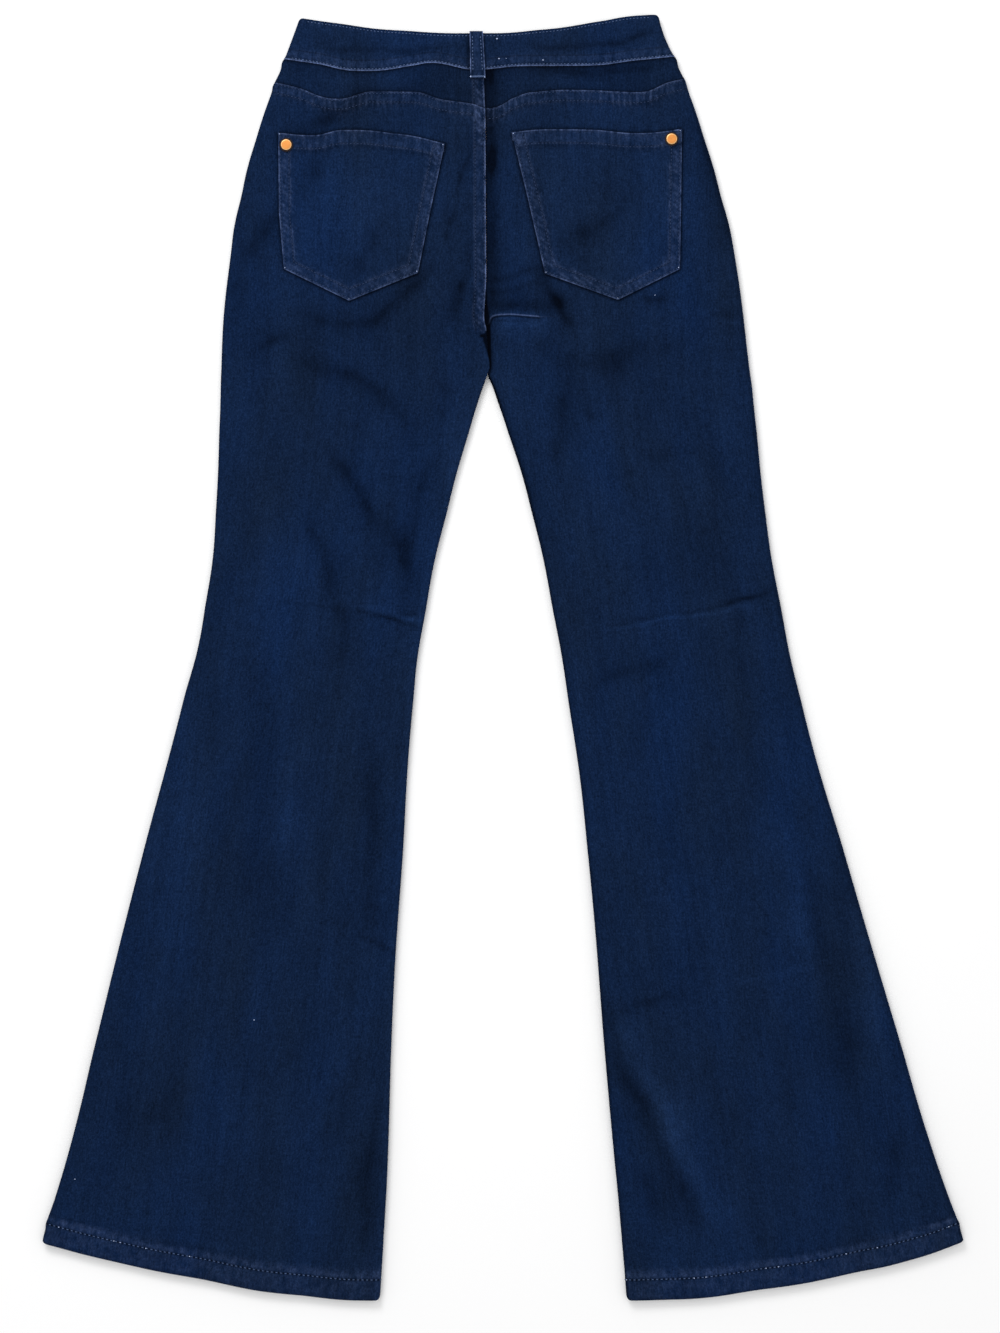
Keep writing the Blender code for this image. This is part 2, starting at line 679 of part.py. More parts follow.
def turned_piece(name, profile, centre, height, colour):
    """A round piece: the profile, from the axis at the top down its outer side, turned by Screw."""
    shape = bmesh.new()
    points = [shape.verts.new((radius * MM, 0.0, z * MM)) for radius, z in profile]
    for start, end in zip(points, points[1:]):
        shape.edges.new((start, end))
    mesh = bpy.data.meshes.new(name)
    shape.to_mesh(mesh)
    shape.free()
    obj = add_object(name, mesh, colour, metallic=1.0, roughness=0.35)
    obj.location = Vector((centre.x, centre.y, height)) * MM
    screw = obj.modifiers.new("turn", "SCREW")
    screw.steps = ROUND_STEPS
    screw.render_steps = ROUND_STEPS
    screw.use_merge_vertices = True
    screw.merge_threshold = 0.00001
    screw.use_smooth_shade = True
    return obj


def rivet(name):
    spot = RIVETS[name]
    seat = back_height(name, spot.x, spot.y) + 2 * GAP + CLOTH + LAP
    profile = [
        (0.0, RIVET_HEIGHT),
        (RIVET_RADIUS * 0.55, RIVET_HEIGHT * 0.9),
        (RIVET_RADIUS * 0.88, RIVET_HEIGHT * 0.6),
        (RIVET_RADIUS, 0.2),
        (RIVET_RADIUS, 0.0),
        (0.0, 0.0),
    ]
    turned_piece(f"rivet_{name}", profile, spot, seat, COPPER_COLOUR)


def waist_button():
    """The button's cap, face down on the surface, with a shallow dish inside its rim."""
    rounding = 0.5
    rim = BUTTON_RADIUS
    profile = [
        (0.0, BUTTON_HEIGHT),
        (rim - rounding, BUTTON_HEIGHT),
        (rim, BUTTON_HEIGHT - rounding),
        (rim, rounding),
        (rim - rounding, 0.0),
        (rim - BUTTON_RIM, 0.0),
        (rim - BUTTON_RIM - rounding, BUTTON_DISH),
        (0.0, BUTTON_DISH),
    ]
    turned_piece("waist_button", profile, button_centre(), 0.0, COPPER_COLOUR)


for existing in list(bpy.data.objects):
    bpy.data.objects.remove(existing, do_unlink=True)
garment = bpy.data.collections.new("flared_jeans")
bpy.context.scene.collection.children.link(garment)

for name in ("left", "right"):
    front_leg(name)
    waistband_front(name)
    back_leg(name)
    yoke(name)
    rivet(name)
waistband_back()
fly()
zip_tape()
waist_button()
belt_loop()
for pocket in POCKETS:
    back_pocket(pocket)
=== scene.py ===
"""Flared jeans in dark stretch denim, laid flat on their front: the cloth, the sewing and the finish.

Every piece lies where its solid does. Tables and named sizes are in millimetres, +Z up out of the surface
and +Y towards the waist, with left and right as the wearer's. The settings hold what a user would change.
"""

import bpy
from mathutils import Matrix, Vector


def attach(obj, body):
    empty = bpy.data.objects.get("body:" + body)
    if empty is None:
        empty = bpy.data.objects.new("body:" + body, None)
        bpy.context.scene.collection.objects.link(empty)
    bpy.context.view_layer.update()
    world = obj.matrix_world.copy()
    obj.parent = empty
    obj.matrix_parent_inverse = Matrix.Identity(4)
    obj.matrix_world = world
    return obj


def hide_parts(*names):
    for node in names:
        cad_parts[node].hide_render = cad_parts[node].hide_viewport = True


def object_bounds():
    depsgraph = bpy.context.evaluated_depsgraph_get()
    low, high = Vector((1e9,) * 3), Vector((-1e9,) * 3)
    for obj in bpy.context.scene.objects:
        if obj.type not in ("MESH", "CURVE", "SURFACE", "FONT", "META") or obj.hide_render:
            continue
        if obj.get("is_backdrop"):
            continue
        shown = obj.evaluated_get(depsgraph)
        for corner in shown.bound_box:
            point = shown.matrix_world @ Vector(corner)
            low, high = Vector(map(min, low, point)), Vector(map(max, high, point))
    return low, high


bl_info = {
    "name": "Flared Jeans",
    "version": (1, 0, 0),
    "blender": (4, 5, 0),
    "location": "3D View > Sidebar > Jeans",
    "description": "Builds flared denim jeans, laid flat on their front",
    "category": "Object",
}

import math
from collections import namedtuple

import bmesh
import bpy
import numpy as np
from bpy.props import FloatProperty, FloatVectorProperty, IntProperty, PointerProperty
from mathutils import Matrix, Vector

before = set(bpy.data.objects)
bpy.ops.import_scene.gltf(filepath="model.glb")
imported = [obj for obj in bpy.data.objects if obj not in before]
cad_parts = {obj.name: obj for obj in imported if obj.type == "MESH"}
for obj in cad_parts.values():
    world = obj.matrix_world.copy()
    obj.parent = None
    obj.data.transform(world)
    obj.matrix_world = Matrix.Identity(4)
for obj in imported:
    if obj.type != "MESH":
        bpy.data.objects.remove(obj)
CAD_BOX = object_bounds()

MM = 0.001

SIDES = ("left", "right")
SHARP = math.radians(50)  # faces that meet at more than this keep a sharp edge between them

# Walls and clearances, as in the solids
CLOTH = 1.2
BAND_CLOTH = 2.0
LAP = 0.8  # how far a felled seam or a hem stands over the cloth beside it
BAND_RISE = 0.9
GAP = 0.3
SEATED = 0.25  # how much of the gap under a pocket its wall fills

# How the cloth lies
RADIUS = 2.8  # the turn from the back to the front, at side seams and inseams
LIE = 4.6  # height of the back's face where it lies smooth
EDGE_REACH = 12.0  # over which the back's face comes down to its turned edges
CLOSURE_FULLNESS = 0.9  # how far the closure under the back lifts it, round this height and over this reach
CLOSURE_Y = 440.0
CLOSURE_ACROSS = 60.0
CLOSURE_ALONG = 100.0
CENTRE_X = -16.5
CROTCH_Y = 249.0
LEG_TOP_ROW = 464.0
LEG_LAST_ROW = -478.0
LEG_COLUMNS = 70
INSEAM_START = 20.0  # the inner edges turn over in this stretch under the crotch

# Seams and hems
FELL_WIDTH = 10.0
HEM_DEPTH = 20.2
HEM_INNER = 108.5  # from the middle to each leg's inner corner
HEM_OUTER = 406.0
HEM_CORNER = 4.4
FOLD = 0.9  # a row of points this far in from a hem's or a panel's edge keeps it crisp
LAP_STEP = 0.8  # how wide the step is from a lap down to the cloth beside it
POCKET_HEM = 13.0
POCKET_SWELL = 0.45  # how much fuller a pocket is in its middle
CORNER = 5.0  # rounds the waistband's top corners
SEAM_SWELL = 1.3  # how far a side edge swells where a thick seam or a hem ends in it
SEAM_REACH = 4.0
SEAM_ENDS = {"left": (523.8, 503.5, -497.0), "right": (526.5, 508.0, -497.0)}

# The closure on the front
FLY_END_Y = 318.0
FLY_LEFT = 34.0
FLY_RIGHT = 10.0
FLY_CLOTH = 1.0
FLY_CLEARANCE = 1.5
FLY_STEP = 8.0
FLY_ROUNDING = 0.98
FLY_ROW = 28.0  # the stitched line that holds the lap, left of the centre seam
ZIP_WIDTH = 24.0
ZIP_CLOTH = 0.8
ZIP_RIB = 0.6
ZIP_LIFT = 8.0  # the tape starts this far over the fly's lower end
TOOTH_ACROSS = 3.4
TOOTH_SHARE = 0.42  # a tooth's length along the zip, as a share of the pitch
TOOTH_ASIDE = 0.9
BUTTON_RADIUS = 8.5
BUTTON_HEIGHT = 1.2
BUTTON_ASIDE = 1.5
BUTTON_CLEARANCE = 5.0
BUTTON_STEP = 11.0

RIVET_FACE = 4.75
RIVET_FOOT = 6.1
RIVET_SEAT = 0.35  # the foot stands this far out of the puckered hem
LOOP_CLOTH = 1.3
LOOP_RADIUS = 2.1
LOOP_SLACK = 1.2

# Rows of sewing, in from the edge that they hold
FIRST_ROW = 1.7
SECOND_ROW = 9.2
HEM_ROW = 18.2
HEM_LEVEL = -500.0  # about where the hem's row meets the sides
BAND_ROW = 2.3
LOOP_ROW = 2.4
POCKET_HEM_ROW = 12.2
HEM_PITCH = 4.0  # the hems are sewn with longer stitches, with a hole painted in shade between two
HEM_STITCH = 2.3
SUNK = 0.1  # how deep the middle of a thread lies in the cloth
SUNK_THICK = 0.12  # where it goes through more cloth
SUNK_LOOP = 0.05
FRONT_ROW_Z = 0.15  # height of the stitches on the front, which the jeans lie on

# Beads: the puckers that washing leaves along a seam, and how much paler they wear
SEAM_BEAD = 7.0
YOKE_BEAD = 5.3
POCKET_BEAD = 7.5
POCKET_HEM_BEAD = 6.3
BAND_BEAD = 6.8
LOOP_BEAD = 5.5
HEM_BEAD = 10.5
FRONT_HEM_BEAD = 8.3
HEM_BLOTCH = 23.0  # from one pale place in the hem to the next
LAP_LINE = FELL_WIDTH + 0.4  # where the lap's folded inner edge shows through
BEAD_ROW = 4.8  # their middle, in from the seam's edge
BEAD_WEAR = 0.20
RIDGE_ROW = 23.0  # the pale ridge above the hem's stitches

CREASE_DEPTH = 0.75  # the creases' height, for a height of 1 in their table
CREASE_TONE = 1.7  # how far the creases change the cloth's tone, as a painted highlight on ridges and painted shade in troughs
SURROUND_TONE = 0.75
SURROUND_REACH = 2.3
SETTLING = 4  # passes in which a point's place across and its row's height agree
AFAR = 60.0  # stands for no edge nearby


def table(kind, *rows):
    """Rows with named columns."""
    return [kind(*row) for row in rows]


Section = namedtuple("Section", "place y side_left inner_left inner_right side_right")
SECTIONS = table(
    Section,
    ("band top", 566, -178, CENTRE_X, CENTRE_X, 136.5),
    ("waist", 552.5, -183, CENTRE_X, CENTRE_X, 140),
    ("under band", 524, -193.5, CENTRE_X, CENTRE_X, 152.5),
    ("pocket top", 455.5, -218, CENTRE_X, CENTRE_X, 177.5),
    ("high hip", 407, -230.5, CENTRE_X, CENTRE_X, 191.5),
    ("hip", 359, -239.5, CENTRE_X, CENTRE_X, 203),
    ("crotch", CROTCH_Y, -248.5, -14, -14, 217.5),
    ("inseam top", 239, -248.8, -17.5, -9.5, 219),
    ("under crotch", 228.5, -249, -21, -6, 220),
    ("thigh", 200.5, -250, -29.5, 3.5, 223),
    ("mid thigh", 130, -253, -49, 24.5, 230.5),
    ("knee", 42, -263, -68, 43.5, 245),
    ("flare", -37, -281.5, -79, 57, 262),
    ("calf", -169, -316.5, -88, 74, 299.5),
    ("shin", -345, -360.5, -98.5, 89, 351.5),
    ("ankle", -429, -381, -101, 96.5, 376.5),
    ("hem side", -508, -404.5, -105, 104, 404),
    ("hem bottom", -565.5, -420, -108.5, 108.5, 422.5),
)

# How far the centre seam wanders from its line and swells to the right under the crotch's hollow, as
# (y, aside) pairs
PARTINGS = [
    (515, -0.4), (490, 0.3), (473, 1.0), (400, 1.2), (341, 1.6),
    (324, 1.0), (310, -0.1), (300, -0.8), (293, -0.1), (288, 0.9),
    (268, 1.3), (260, 2.4), (256, 2.4), (252.5, 1.2), (249, 0.0),
    (240, 0.0),
]
SEAM_END = 287.0  # where the centre seam's lap dives

# The hollow where the legs part under the seam, painted in shade: lines of (x, y, half its width)
HOLLOWS = [
    [
        (-15.6, 322, 0.5), (-14.9, 308, 1.6), (-14.4, 300, 2.3), (-13.2, 290, 2.0),
        (-13.4, 285, 2.6), (-14.2, 280, 3.6), (-12.7, 271, 2.2), (-11.6, 262.5, 1.1),
        (-11.1, 256, 0.8), (-11.8, 252, 0.8), (-12.6, 248, 0.9), (-9.1, 239, 0.9),
        (-5.4, 228.5, 0.7), (4.0, 200.5, 0.2),
    ],
    [(-14, 283.6, 2.4), (-19.4, 283.2, 1.5)],
]

# Edges that run across the jeans, as heights along x
Point = namedtuple("Point", "x y")


def points(*places):
    return [Point(x, y) for x, y in places]


BAND_TOP = points(
    (-177, 562.5), (-144, 558), (-91, 552), (-20.5, 549.5), (32, 552.5),
    (85, 560), (125, 565.4), (136.5, 565.7),
)
BAND_BOTTOM = points(
    (-192, 526.5), (-163, 522.5), (-124, 516.3), (-79, 521.2), (-62, 523.4),
    (-25, 517.2), (15, 520.5), (71, 521), (114, 525.3), (152, 529),
)
FRONT_BAND_TOP = points((-177, 562.5), (-120, 534), (-20, 513), (80, 536), (136.5, 565.2))
FRONT_BAND_BOTTOM = points((-192, 526.5), (-130, 499), (-20, 479), (92, 500), (152, 529))
YOKE_SEAM = points(
    (-200, 506), (-181, 501.7), (-144, 491.7), (-116, 498.2), (-79, 497.9),
    (-55, 491.3), (-27, 487.3), (-13, 483.4), (10, 492.8), (28, 497.6),
    (66, 499.6), (119, 497.6), (145, 506.2), (160, 509.5),
)
HEM = points(
    (-406, -515), (-346, -530.5), (-267, -546.5), (-179, -561), (-108, -565.5),
    (109, -565.5), (138, -565), (226, -556), (314, -540), (358, -530),
    (406, -513.3),
)

# Back pockets: the top edge from left to right, then the three lower corners
Pocket = namedtuple("Pocket", "side top left_edge right_edge point")
POCKETS = [
    Pocket(
        "left",
        points((-198, 461.8), (-166, 459.6), (-142, 464.1), (-95, 460.9), (-51.3, 452.1)),
        points((-198, 461.8), (-197.3, 391), (-193, 342)),
        points((-51.3, 452.1), (-64.5, 391), (-75, 338.6)),
        Point(-135.7, 314),
    ),
    Pocket(
        "right",
        points((7.3, 462), (43.8, 464.7), (78, 464.4), (116, 461.4), (157.3, 465)),
        points((7.3, 462), (20.9, 407), (36.7, 338)),
        points((157.3, 465), (156.5, 400), (155.5, 342)),
        Point(101, 314.8),
    ),
]
LOOP_LEFT = points((-29.6, 550), (-28.9, 509.7))
LOOP_RIGHT = points((-17.8, 550), (-15.6, 509.7))
RIVETS = {"left": Point(-190.8, 451.0), "right": Point(148.1, 456.1)}

# Creases in the back: each runs along a line of (x, y) places, with its reach to both sides of it and its
# height, negative for a trough
Crease = namedtuple("Crease", "place width height line")
CREASES = table(
    Crease,
    ("crotch fold", 6, 1.7, [(-6, 297), (12, 298), (36, 295)]),
    ("under crotch lip", 2, -1.3, [(-9, 296.5), (7, 297.6), (20, 297), (33, 295.8)]),
    ("over crotch fold", 6, -0.8, [(-8, 309), (14, 310), (36, 306)]),
    ("pocket to crotch", 5.2, -0.9, [(35, 341), (39, 324), (48, 310), (56, 297)]),
    ("valley", 3.5, -0.65, [(41, 322), (50, 305), (58, 296), (63, 290)]),
    ("lap's end", 1.3, -0.8, [(-25.6, 322), (-24.6, 308), (-22.8, 295), (-20.4, 285)]),
    ("below valley", 8, -0.4, [(50, 293), (37, 275), (28, 253)]),
    ("seat drag", 2.5, -0.5, [(-12, 332), (10, 337), (35, 343)]),
    ("second drag", 3, -0.5, [(-10, 322), (15, 325), (33, 329)]),
    ("beside centre seam", 4, -0.35, [(-10.5, 460), (-9, 420), (-9, 350), (-11, 318)]),
    ("seam hollow", 3.5, -0.6, [(-11, 447), (-9, 429)]),
    ("over yoke seam hollow", 4, -0.45, [(-12, 473), (-9, 458)]),
    ("drag by seam", 1.8, -0.8, [(-31, 438), (-38, 420), (-42, 405)]),
    ("long drag", 2.2, -0.9, [(-45, 392), (-47, 376), (-50, 365)]),
    ("short drag", 1.8, -0.4, [(-51, 398), (-52, 381)]),
    ("upper drag", 2, -0.5, [(-27.5, 456), (-30, 438)]),
    ("low drag", 3, -0.6, [(-29, 368), (-31, 341)]),
    ("drag ridge", 2.5, 0.4, [(-62, 337), (-66, 318)]),
    ("seat pleat", 4.5, -0.95, [(-36, 335), (-38, 319), (-41, 309)]),
    ("below pleat", 6, -0.5, [(-41, 309), (-45, 297)]),
    ("under pocket", 6, -0.9, [(-64, 346), (-73, 332), (-84, 321), (-95, 312), (-108, 302), (-119, 293)]),
    ("under pocket point", 5, -0.5, [(-170, 301), (-157, 295), (-139, 293), (-120, 296)]),
    ("side of pocket", 6, -0.8, [(-201, 394), (-207, 381), (-218, 363), (-227, 350)]),
    ("side of seat", 7, -0.4, [(-236, 337), (-232, 306)]),
    ("hip pleat", 4.5, -0.7, [(-215, 269), (-205, 279), (-189, 283)]),
    ("high thigh", 7.5, -0.6, [
        (-187, 267), (-161, 255), (-131, 246), (-117, 238), (-100, 225), (-84, 209), (-82, 192)
    ]),
    ("thigh hollow", 4.5, -0.35, [(-146, 252), (-131, 246), (-114, 235)]),
    ("inner pleat", 6, -0.5, [(-53, 249), (-49.5, 227), (-54, 205)]),
    ("inner nick", 2.5, -0.5, [(-42, 196), (-36, 192)]),
    ("inner fall", 5, -0.6, [(-62, 172), (-67, 161), (-73, 148), (-78, 121), (-84, 86), (-88, 58)]),
    ("inner dip", 5, -0.5, [(-91, 104), (-87, 75)]),
    ("thigh diagonal", 4.8, -0.9, [(-151, 181), (-139, 167), (-128, 148), (-117, 128), (-114, 121)]),
    ("below diagonal", 9, -0.45, [(-114, 119), (-95, 108), (-88, 86)]),
    ("long trough", 5, -0.7, [(-172, 121), (-166, 108), (-157, 90), (-152, 68), (-148, 51)]),
    ("trough over knee", 6, -0.6, [(-148, 51), (-141, 38), (-139, 16), (-141, -6)]),
    ("faint knee line", 1.6, -0.3, [(-198, 47), (-170, 47), (-148, 44), (-126, 40)]),
    ("knee line", 1.7, -1.2, [(-126, 40), (-104, 35), (-89, 33), (-78, 30), (-73, 26)]),
    ("upper knee line", 1.5, -0.7, [(-94, 41), (-86, 39.5), (-73, 38.5)]),
    ("knee ridge", 1.8, 0.9, [(-88, 36.5), (-72, 33)]),
    ("knee swell", 5, 0.4, [(-128, 45), (-100, 40), (-80, 36)]),
    ("high thigh", 8, -0.55, [(50, 258), (85, 262), (112, 269), (129, 273), (155, 275)]),
    ("thigh dip", 9, -0.5, [(85, 254), (112, 256)]),
    ("inner fall", 6, -0.6, [(54, 240), (50, 200), (47, 174)]),
    ("second fall", 4, -0.35, [(72, 227), (82, 205)]),
    ("thigh drag", 5, -0.3, [(116, 178), (150, 179), (191, 181)]),
    ("thigh spot", 5, -0.4, [(112, 166), (116, 157)]),
    ("knee rib", 1.5, 0.55, [(85, 22), (103, 26), (138, 32), (164, 37), (186, 39), (204, 44), (217, 45.5)]),
    ("over knee rib", 2.4, -0.7, [
        (94, 27), (120, 34), (147, 37), (173, 42), (195, 46), (213, 51), (233, 58)
    ]),
    ("knee end", 1.8, -0.6, [(196, 47), (213, 51.5), (236, 59)]),
    ("under knee rib", 1.8, -0.5, [(98, 23), (120, 26), (156, 33), (191, 37)]),
    ("knee swell", 6, 0.5, [(100, 25), (160, 36), (215, 46)]),
    ("beside knee", 5, -0.5, [(207, 40), (211, 22)]),
    ("under knee", 6, -0.6, [(85, -21), (103, -15), (120, -9), (142, -4)]),
    ("calf drag", 4, -0.4, [(204, 7), (213, -20)]),
    ("side line", 1.4, 0.5, [(190, 297), (210, 295)]),
    ("over side line", 4, -0.35, [(188, 303), (210, 301)]),
    ("under pocket point", 3.5, -0.9, [(122, 317), (132, 316), (143, 317)]),
    ("hip fall", 7, -0.55, [(164, 482), (178, 447), (191, 403), (198, 368)]),
    ("calf ridge", 10, 0.5, [(-181, -72), (-190, -120), (-195, -178)]),
    ("outer ridge", 11, 0.5, [(-276, -70), (-284, -150), (-290, -250)]),
    ("inner trough", 7, -0.6, [(-117, -72), (-114, -160), (-117, -240)]),
    ("low trough", 7, -0.7, [(-113, -400), (-119, -450), (-121, -520)]),
    ("flare fall", 15, -0.35, [(-210, -60), (-214, -150), (-222, -240)]),
    ("calf nick", 1.5, -0.9, [(-124, -247), (-108, -251), (-96, -260)]),
    ("second nick", 1.4, -0.5, [(-112, -246), (-98, -251)]),
    ("nick ridge", 1.8, 0.5, [(-108, -247), (-97, -254)]),
    ("broad dip", 16, -0.4, [(-350, -400), (-295, -400)]),
    ("outer trough", 10, -0.62, [(265, -187), (279, -248), (292, -301), (301, -345), (309, -398)]),
    ("outer ridge", 9, 0.6, [(248, -151), (262, -220), (276, -292)]),
    ("outermost ridge", 9, 0.45, [(314, -231), (322, -300), (330, -363)]),
    ("inner ridge", 8, 1, [(103, -328), (121, -360), (138, -389), (160, -442), (191, -495)]),
    ("inner trough", 7, -0.8, [(94, -310), (103, -363), (125, -398), (147, -451), (173, -495)]),
    ("calf crease", 3, -0.5, [(103, -310), (125, -304), (147, -299), (165, -296)]),
    ("calf line", 2, 0.4, [(182, -292), (205, -287), (240, -277), (270, -275)]),
    ("hem dart", 6, -0.6, [(349, -416), (344, -440), (340, -477)]),
    ("low dip", 6, -0.6, [(120, -451), (138, -486)]),
    ("band crease", 2.5, -0.6, [(-168, 537.5), (-135, 535), (-95, 533), (-64, 536), (-34, 537)]),
    ("high band crease", 3, -0.3, [(-179, 546), (-144, 547)]),
    ("band crease", 2.5, -0.8, [(24, 537), (68, 537.5), (90, 539), (107, 542), (120, 548), (138, 550)]),
    ("band corner", 4, -0.5, [(118, 546), (128, 551)]),
    ("yoke diagonal", 4, -0.5, [(32, 521), (68, 515), (103, 503)]),
    ("yoke drag", 2.5, -0.5, [(90, 515), (138, 521)]),
    ("yoke sag", 9, -0.45, [(-120, 500), (-80, 505), (-40, 500)]),
    ("seam to pocket", 8, -0.8, [(-128, 492), (-148, 477), (-168, 466), (-185, 462)]),
    ("across pocket", 8, -0.5, [(-157, 442), (-170, 425), (-176, 412)]),
    ("low in pocket", 6, -0.6, [(-108, 378), (-118, 362), (-130, 337)]),
    ("in pocket", 8, -0.8, [(54, 365), (72, 374), (86, 380)]),
    ("drag in pocket", 5, -0.35, [(86, 380), (106, 396), (112, 420)]),
    ("streak in pocket", 3, -0.3, [(88, 440), (93, 410)]),
    ("second streak", 3, -0.3, [(116, 436), (122, 405)]),
)

# Soft places where light or shade is painted, by their tone, and places worn paler
Patch = namedtuple("Patch", "place x y reach_x reach_y tone worn")
PATCHES = table(
    Patch,
    ("beside the loop's end", -10.8, 511, 3.5, 8, -1.5, 0),
    ("yoke beside the seam", -8, 496, 9, 13, -0.3, 0),
    ("seam hollow", -10.5, 437, 4, 15, -1.3, 0),
    ("seat over the fold", 12, 311, 24, 8, -0.8, 0),
    ("seams' crossing", -21, 477, 5.5, 14, 0.7, 0.1),
    ("right pocket's inner corner", 14, 454, 6, 4.5, 0, 0.1),
    ("right pocket's rivet", 143, 457, 6, 7, 0, 0.045),
    ("left pocket's inner corner", -58, 447.5, 5, 4.5, 0, 0.06),
    ("left pocket's lower left", -187, 345.5, 8, 5, 0, 0.03),
    ("left pocket's lower right", -82, 343.5, 7, 4.5, 0, 0.05),
    ("left pocket's point", -136, 322, 5, 5, 0, 0.03),
    ("right pocket's lower left", 45, 345, 5, 5, 0, 0.04),
    ("right pocket's lower right", 147, 348, 7, 5, 0, 0.05),
    ("right pocket's point", 101, 322, 4, 5, 0, 0.02),
    ("right pocket's side", 141, 411, 7, 32, 0.7, 0),
    ("right pocket's inner side", 42, 420, 7, 30, 0.4, 0),
    ("under the right pocket", 100, 280, 50, 18, 0.1, 0),
    ("under the left pocket", -140, 288, 85, 22, -0.4, 0),
    ("inner thigh, right", 10, 230, 18, 40, 0.7, 0),
    ("inner thigh, left", -45, 190, 12, 45, 0.7, 0),
    ("knee, left", -190, 70, 30, 40, 0.5, 0),
    ("thigh, right", 95, 130, 40, 70, 0.4, 0),
    ("outer knee, right", 170, 90, 45, 40, -0.4, 0),
    ("calf, left", -170, -20, 30, 40, 0.3, 0),
    ("under the yoke, left", -200, 480, 24, 14, -0.2, 0),
    ("yoke, left, middle", -112, 509, 38, 6, 0.9, 0),
    ("yoke, left, by the loop", -34, 497, 10, 9, -0.8, 0),
    ("yoke, right, lower", 60, 508, 36, 5, 0.8, 0),
    ("yoke, right, end", 138, 517, 12, 7, 0.5, 0),
    ("pocket's field, left", -125, 400, 34, 36, 0.3, 0),
    ("band, right end", 128, 545, 14, 12, 0.5, 0),
    ("band, left end", -172, 543, 12, 12, 0.4, 0),
)

# The lip of the crotch fold: cloth above it lies over the cloth below
LIP = points((-12.5, 293), (-11.5, 298), (-9, 300.5), (-5, 301.5), (7, 302), (31, 300))

# Rows down a leg: level lines, evenly spaced until the height is reached
Rows = namedtuple("Rows", "place until back_step front_step")
LEG_ROWS = table(
    Rows,
    ("seat", 322, 2.9, 6.0),
    ("crotch fold", 290, 1.2, 4.0),
    ("crotch", 241, 1.3, 5.0),
    ("thigh", 62, 2.9, 6.5),
    ("knee", 14, 1.7, 6.5),
    ("flare", LEG_LAST_ROW, 3.0, 7.0),
)
SEAM_ROWS_FROM = 284.0  # the rows are twice as close on the centre seam's lap, from here up

# Loose ends of white thread, and lint
Speck = namedtuple("Speck", "place x y size")
SPECKS = table(
    Speck,
    ("band, upper", -5.5, 544.5, 1.3),
    ("band, lower", -3.7, 527, 1.1),
    ("band, beside", 2.6, 527.2, 0.6),
    ("band, right", 35, 525.8, 1.2),
    ("calf, left", -219.3, -318.8, 1),
    ("flare, left", -376.8, -458.7, 0.9),
    ("under pocket, right", 133.5, 319.2, 0.8),
    ("loop's left corner", -28.5, 511, 1.5),
    ("loop's right corner", -16.5, 510.6, 1),
    ("right pocket, inner top", 8.8, 460.9, 0.9),
    ("right pocket, outer top", 155.6, 463.6, 0.8),
    ("right pocket, lower left", 37.6, 339, 0.8),
    ("right pocket, lower right", 154.2, 343.2, 0.9),
    ("right pocket, point", 100.8, 316.2, 0.7),
    ("left pocket, inner top", -53, 451.2, 0.9),
    ("left pocket, outer top", -196.6, 460.6, 0.8),
    ("left pocket, lower left", -192, 343, 0.8),
    ("left pocket, lower right", -76, 339.8, 0.9),
    ("left pocket, point", -135.6, 315.4, 0.6),
)
SPECK_LIFT = 0.1
SPECK_HALF = 0.2  # half its thickness

# Places along the hems where a bright white speck sits on a stitch
BRIGHT_STITCHES = (-391, -342.5, -337, -314.4, -276, 108.5, 168, 178.4, 231.2, 242, 301.6, 329, 392)


# What each colour setting says beside its name, description and default
COLOUR = {"subtype": "COLOR", "size": 3, "min": 0.0, "max": 1.0}


class DenimSettings(bpy.types.PropertyGroup):
    """The cloth's colours and grain."""

    indigo: FloatVectorProperty(
        name="Indigo", description="The denim's own colour", default=(0.0033, 0.0123, 0.0440), **COLOUR,
    )
    ink: FloatVectorProperty(
        name="Ink", description="The greyer colour that the dye drifts to",
        default=(0.0046, 0.0126, 0.0364), **COLOUR,
    )
    faded: FloatVectorProperty(
        name="Faded", description="The colour of worn, folded edges",
        default=(0.105, 0.150, 0.300), **COLOUR,
    )
    reverse: FloatVectorProperty(
        name="Reverse", description="The paler inner side, where the weft shows",
        default=(0.022, 0.032, 0.060), **COLOUR,
    )
    grain: FloatProperty(
        name="Grain", description="How far the yarns vary in tone", min=0.0, max=3.0, default=1.0,
    )
    twill: FloatProperty(
        name="Twill", description="Distance between two ribs of the twill", unit="LENGTH",
        min=0.0004, max=0.004, default=0.0012,
    )
    pucker: FloatProperty(
        name="Pucker", description="Height of the roping along seams and hems", unit="LENGTH",
        min=0.0, max=0.001, default=0.0003,
    )


class SewingSettings(bpy.types.PropertyGroup):
    """The thread and its stitches."""

    thread: FloatVectorProperty(
        name="Thread", description="The topstitching's colour", default=(0.080, 0.125, 0.245), **COLOUR,
    )
    tonal: FloatVectorProperty(
        name="Tonal thread", description="The thread of seams and pockets",
        default=(0.023, 0.042, 0.102), **COLOUR,
    )
    tacking: FloatVectorProperty(
        name="Tacking", description="The loose white thread ends and lint",
        default=(0.42, 0.51, 0.74), **COLOUR,
    )
    stitch: FloatProperty(
        name="Stitch", description="Length of one stitch", unit="LENGTH", min=0.001, max=0.006,
        default=0.0021,
    )
    pitch: FloatProperty(
        name="Pitch", description="From one stitch to the next", unit="LENGTH", min=0.0015, max=0.008,
        default=0.0031,
    )
    thickness: FloatProperty(
        name="Thickness", description="The thread's diameter", unit="LENGTH", min=0.0002, max=0.0015,
        default=0.0007,
    )


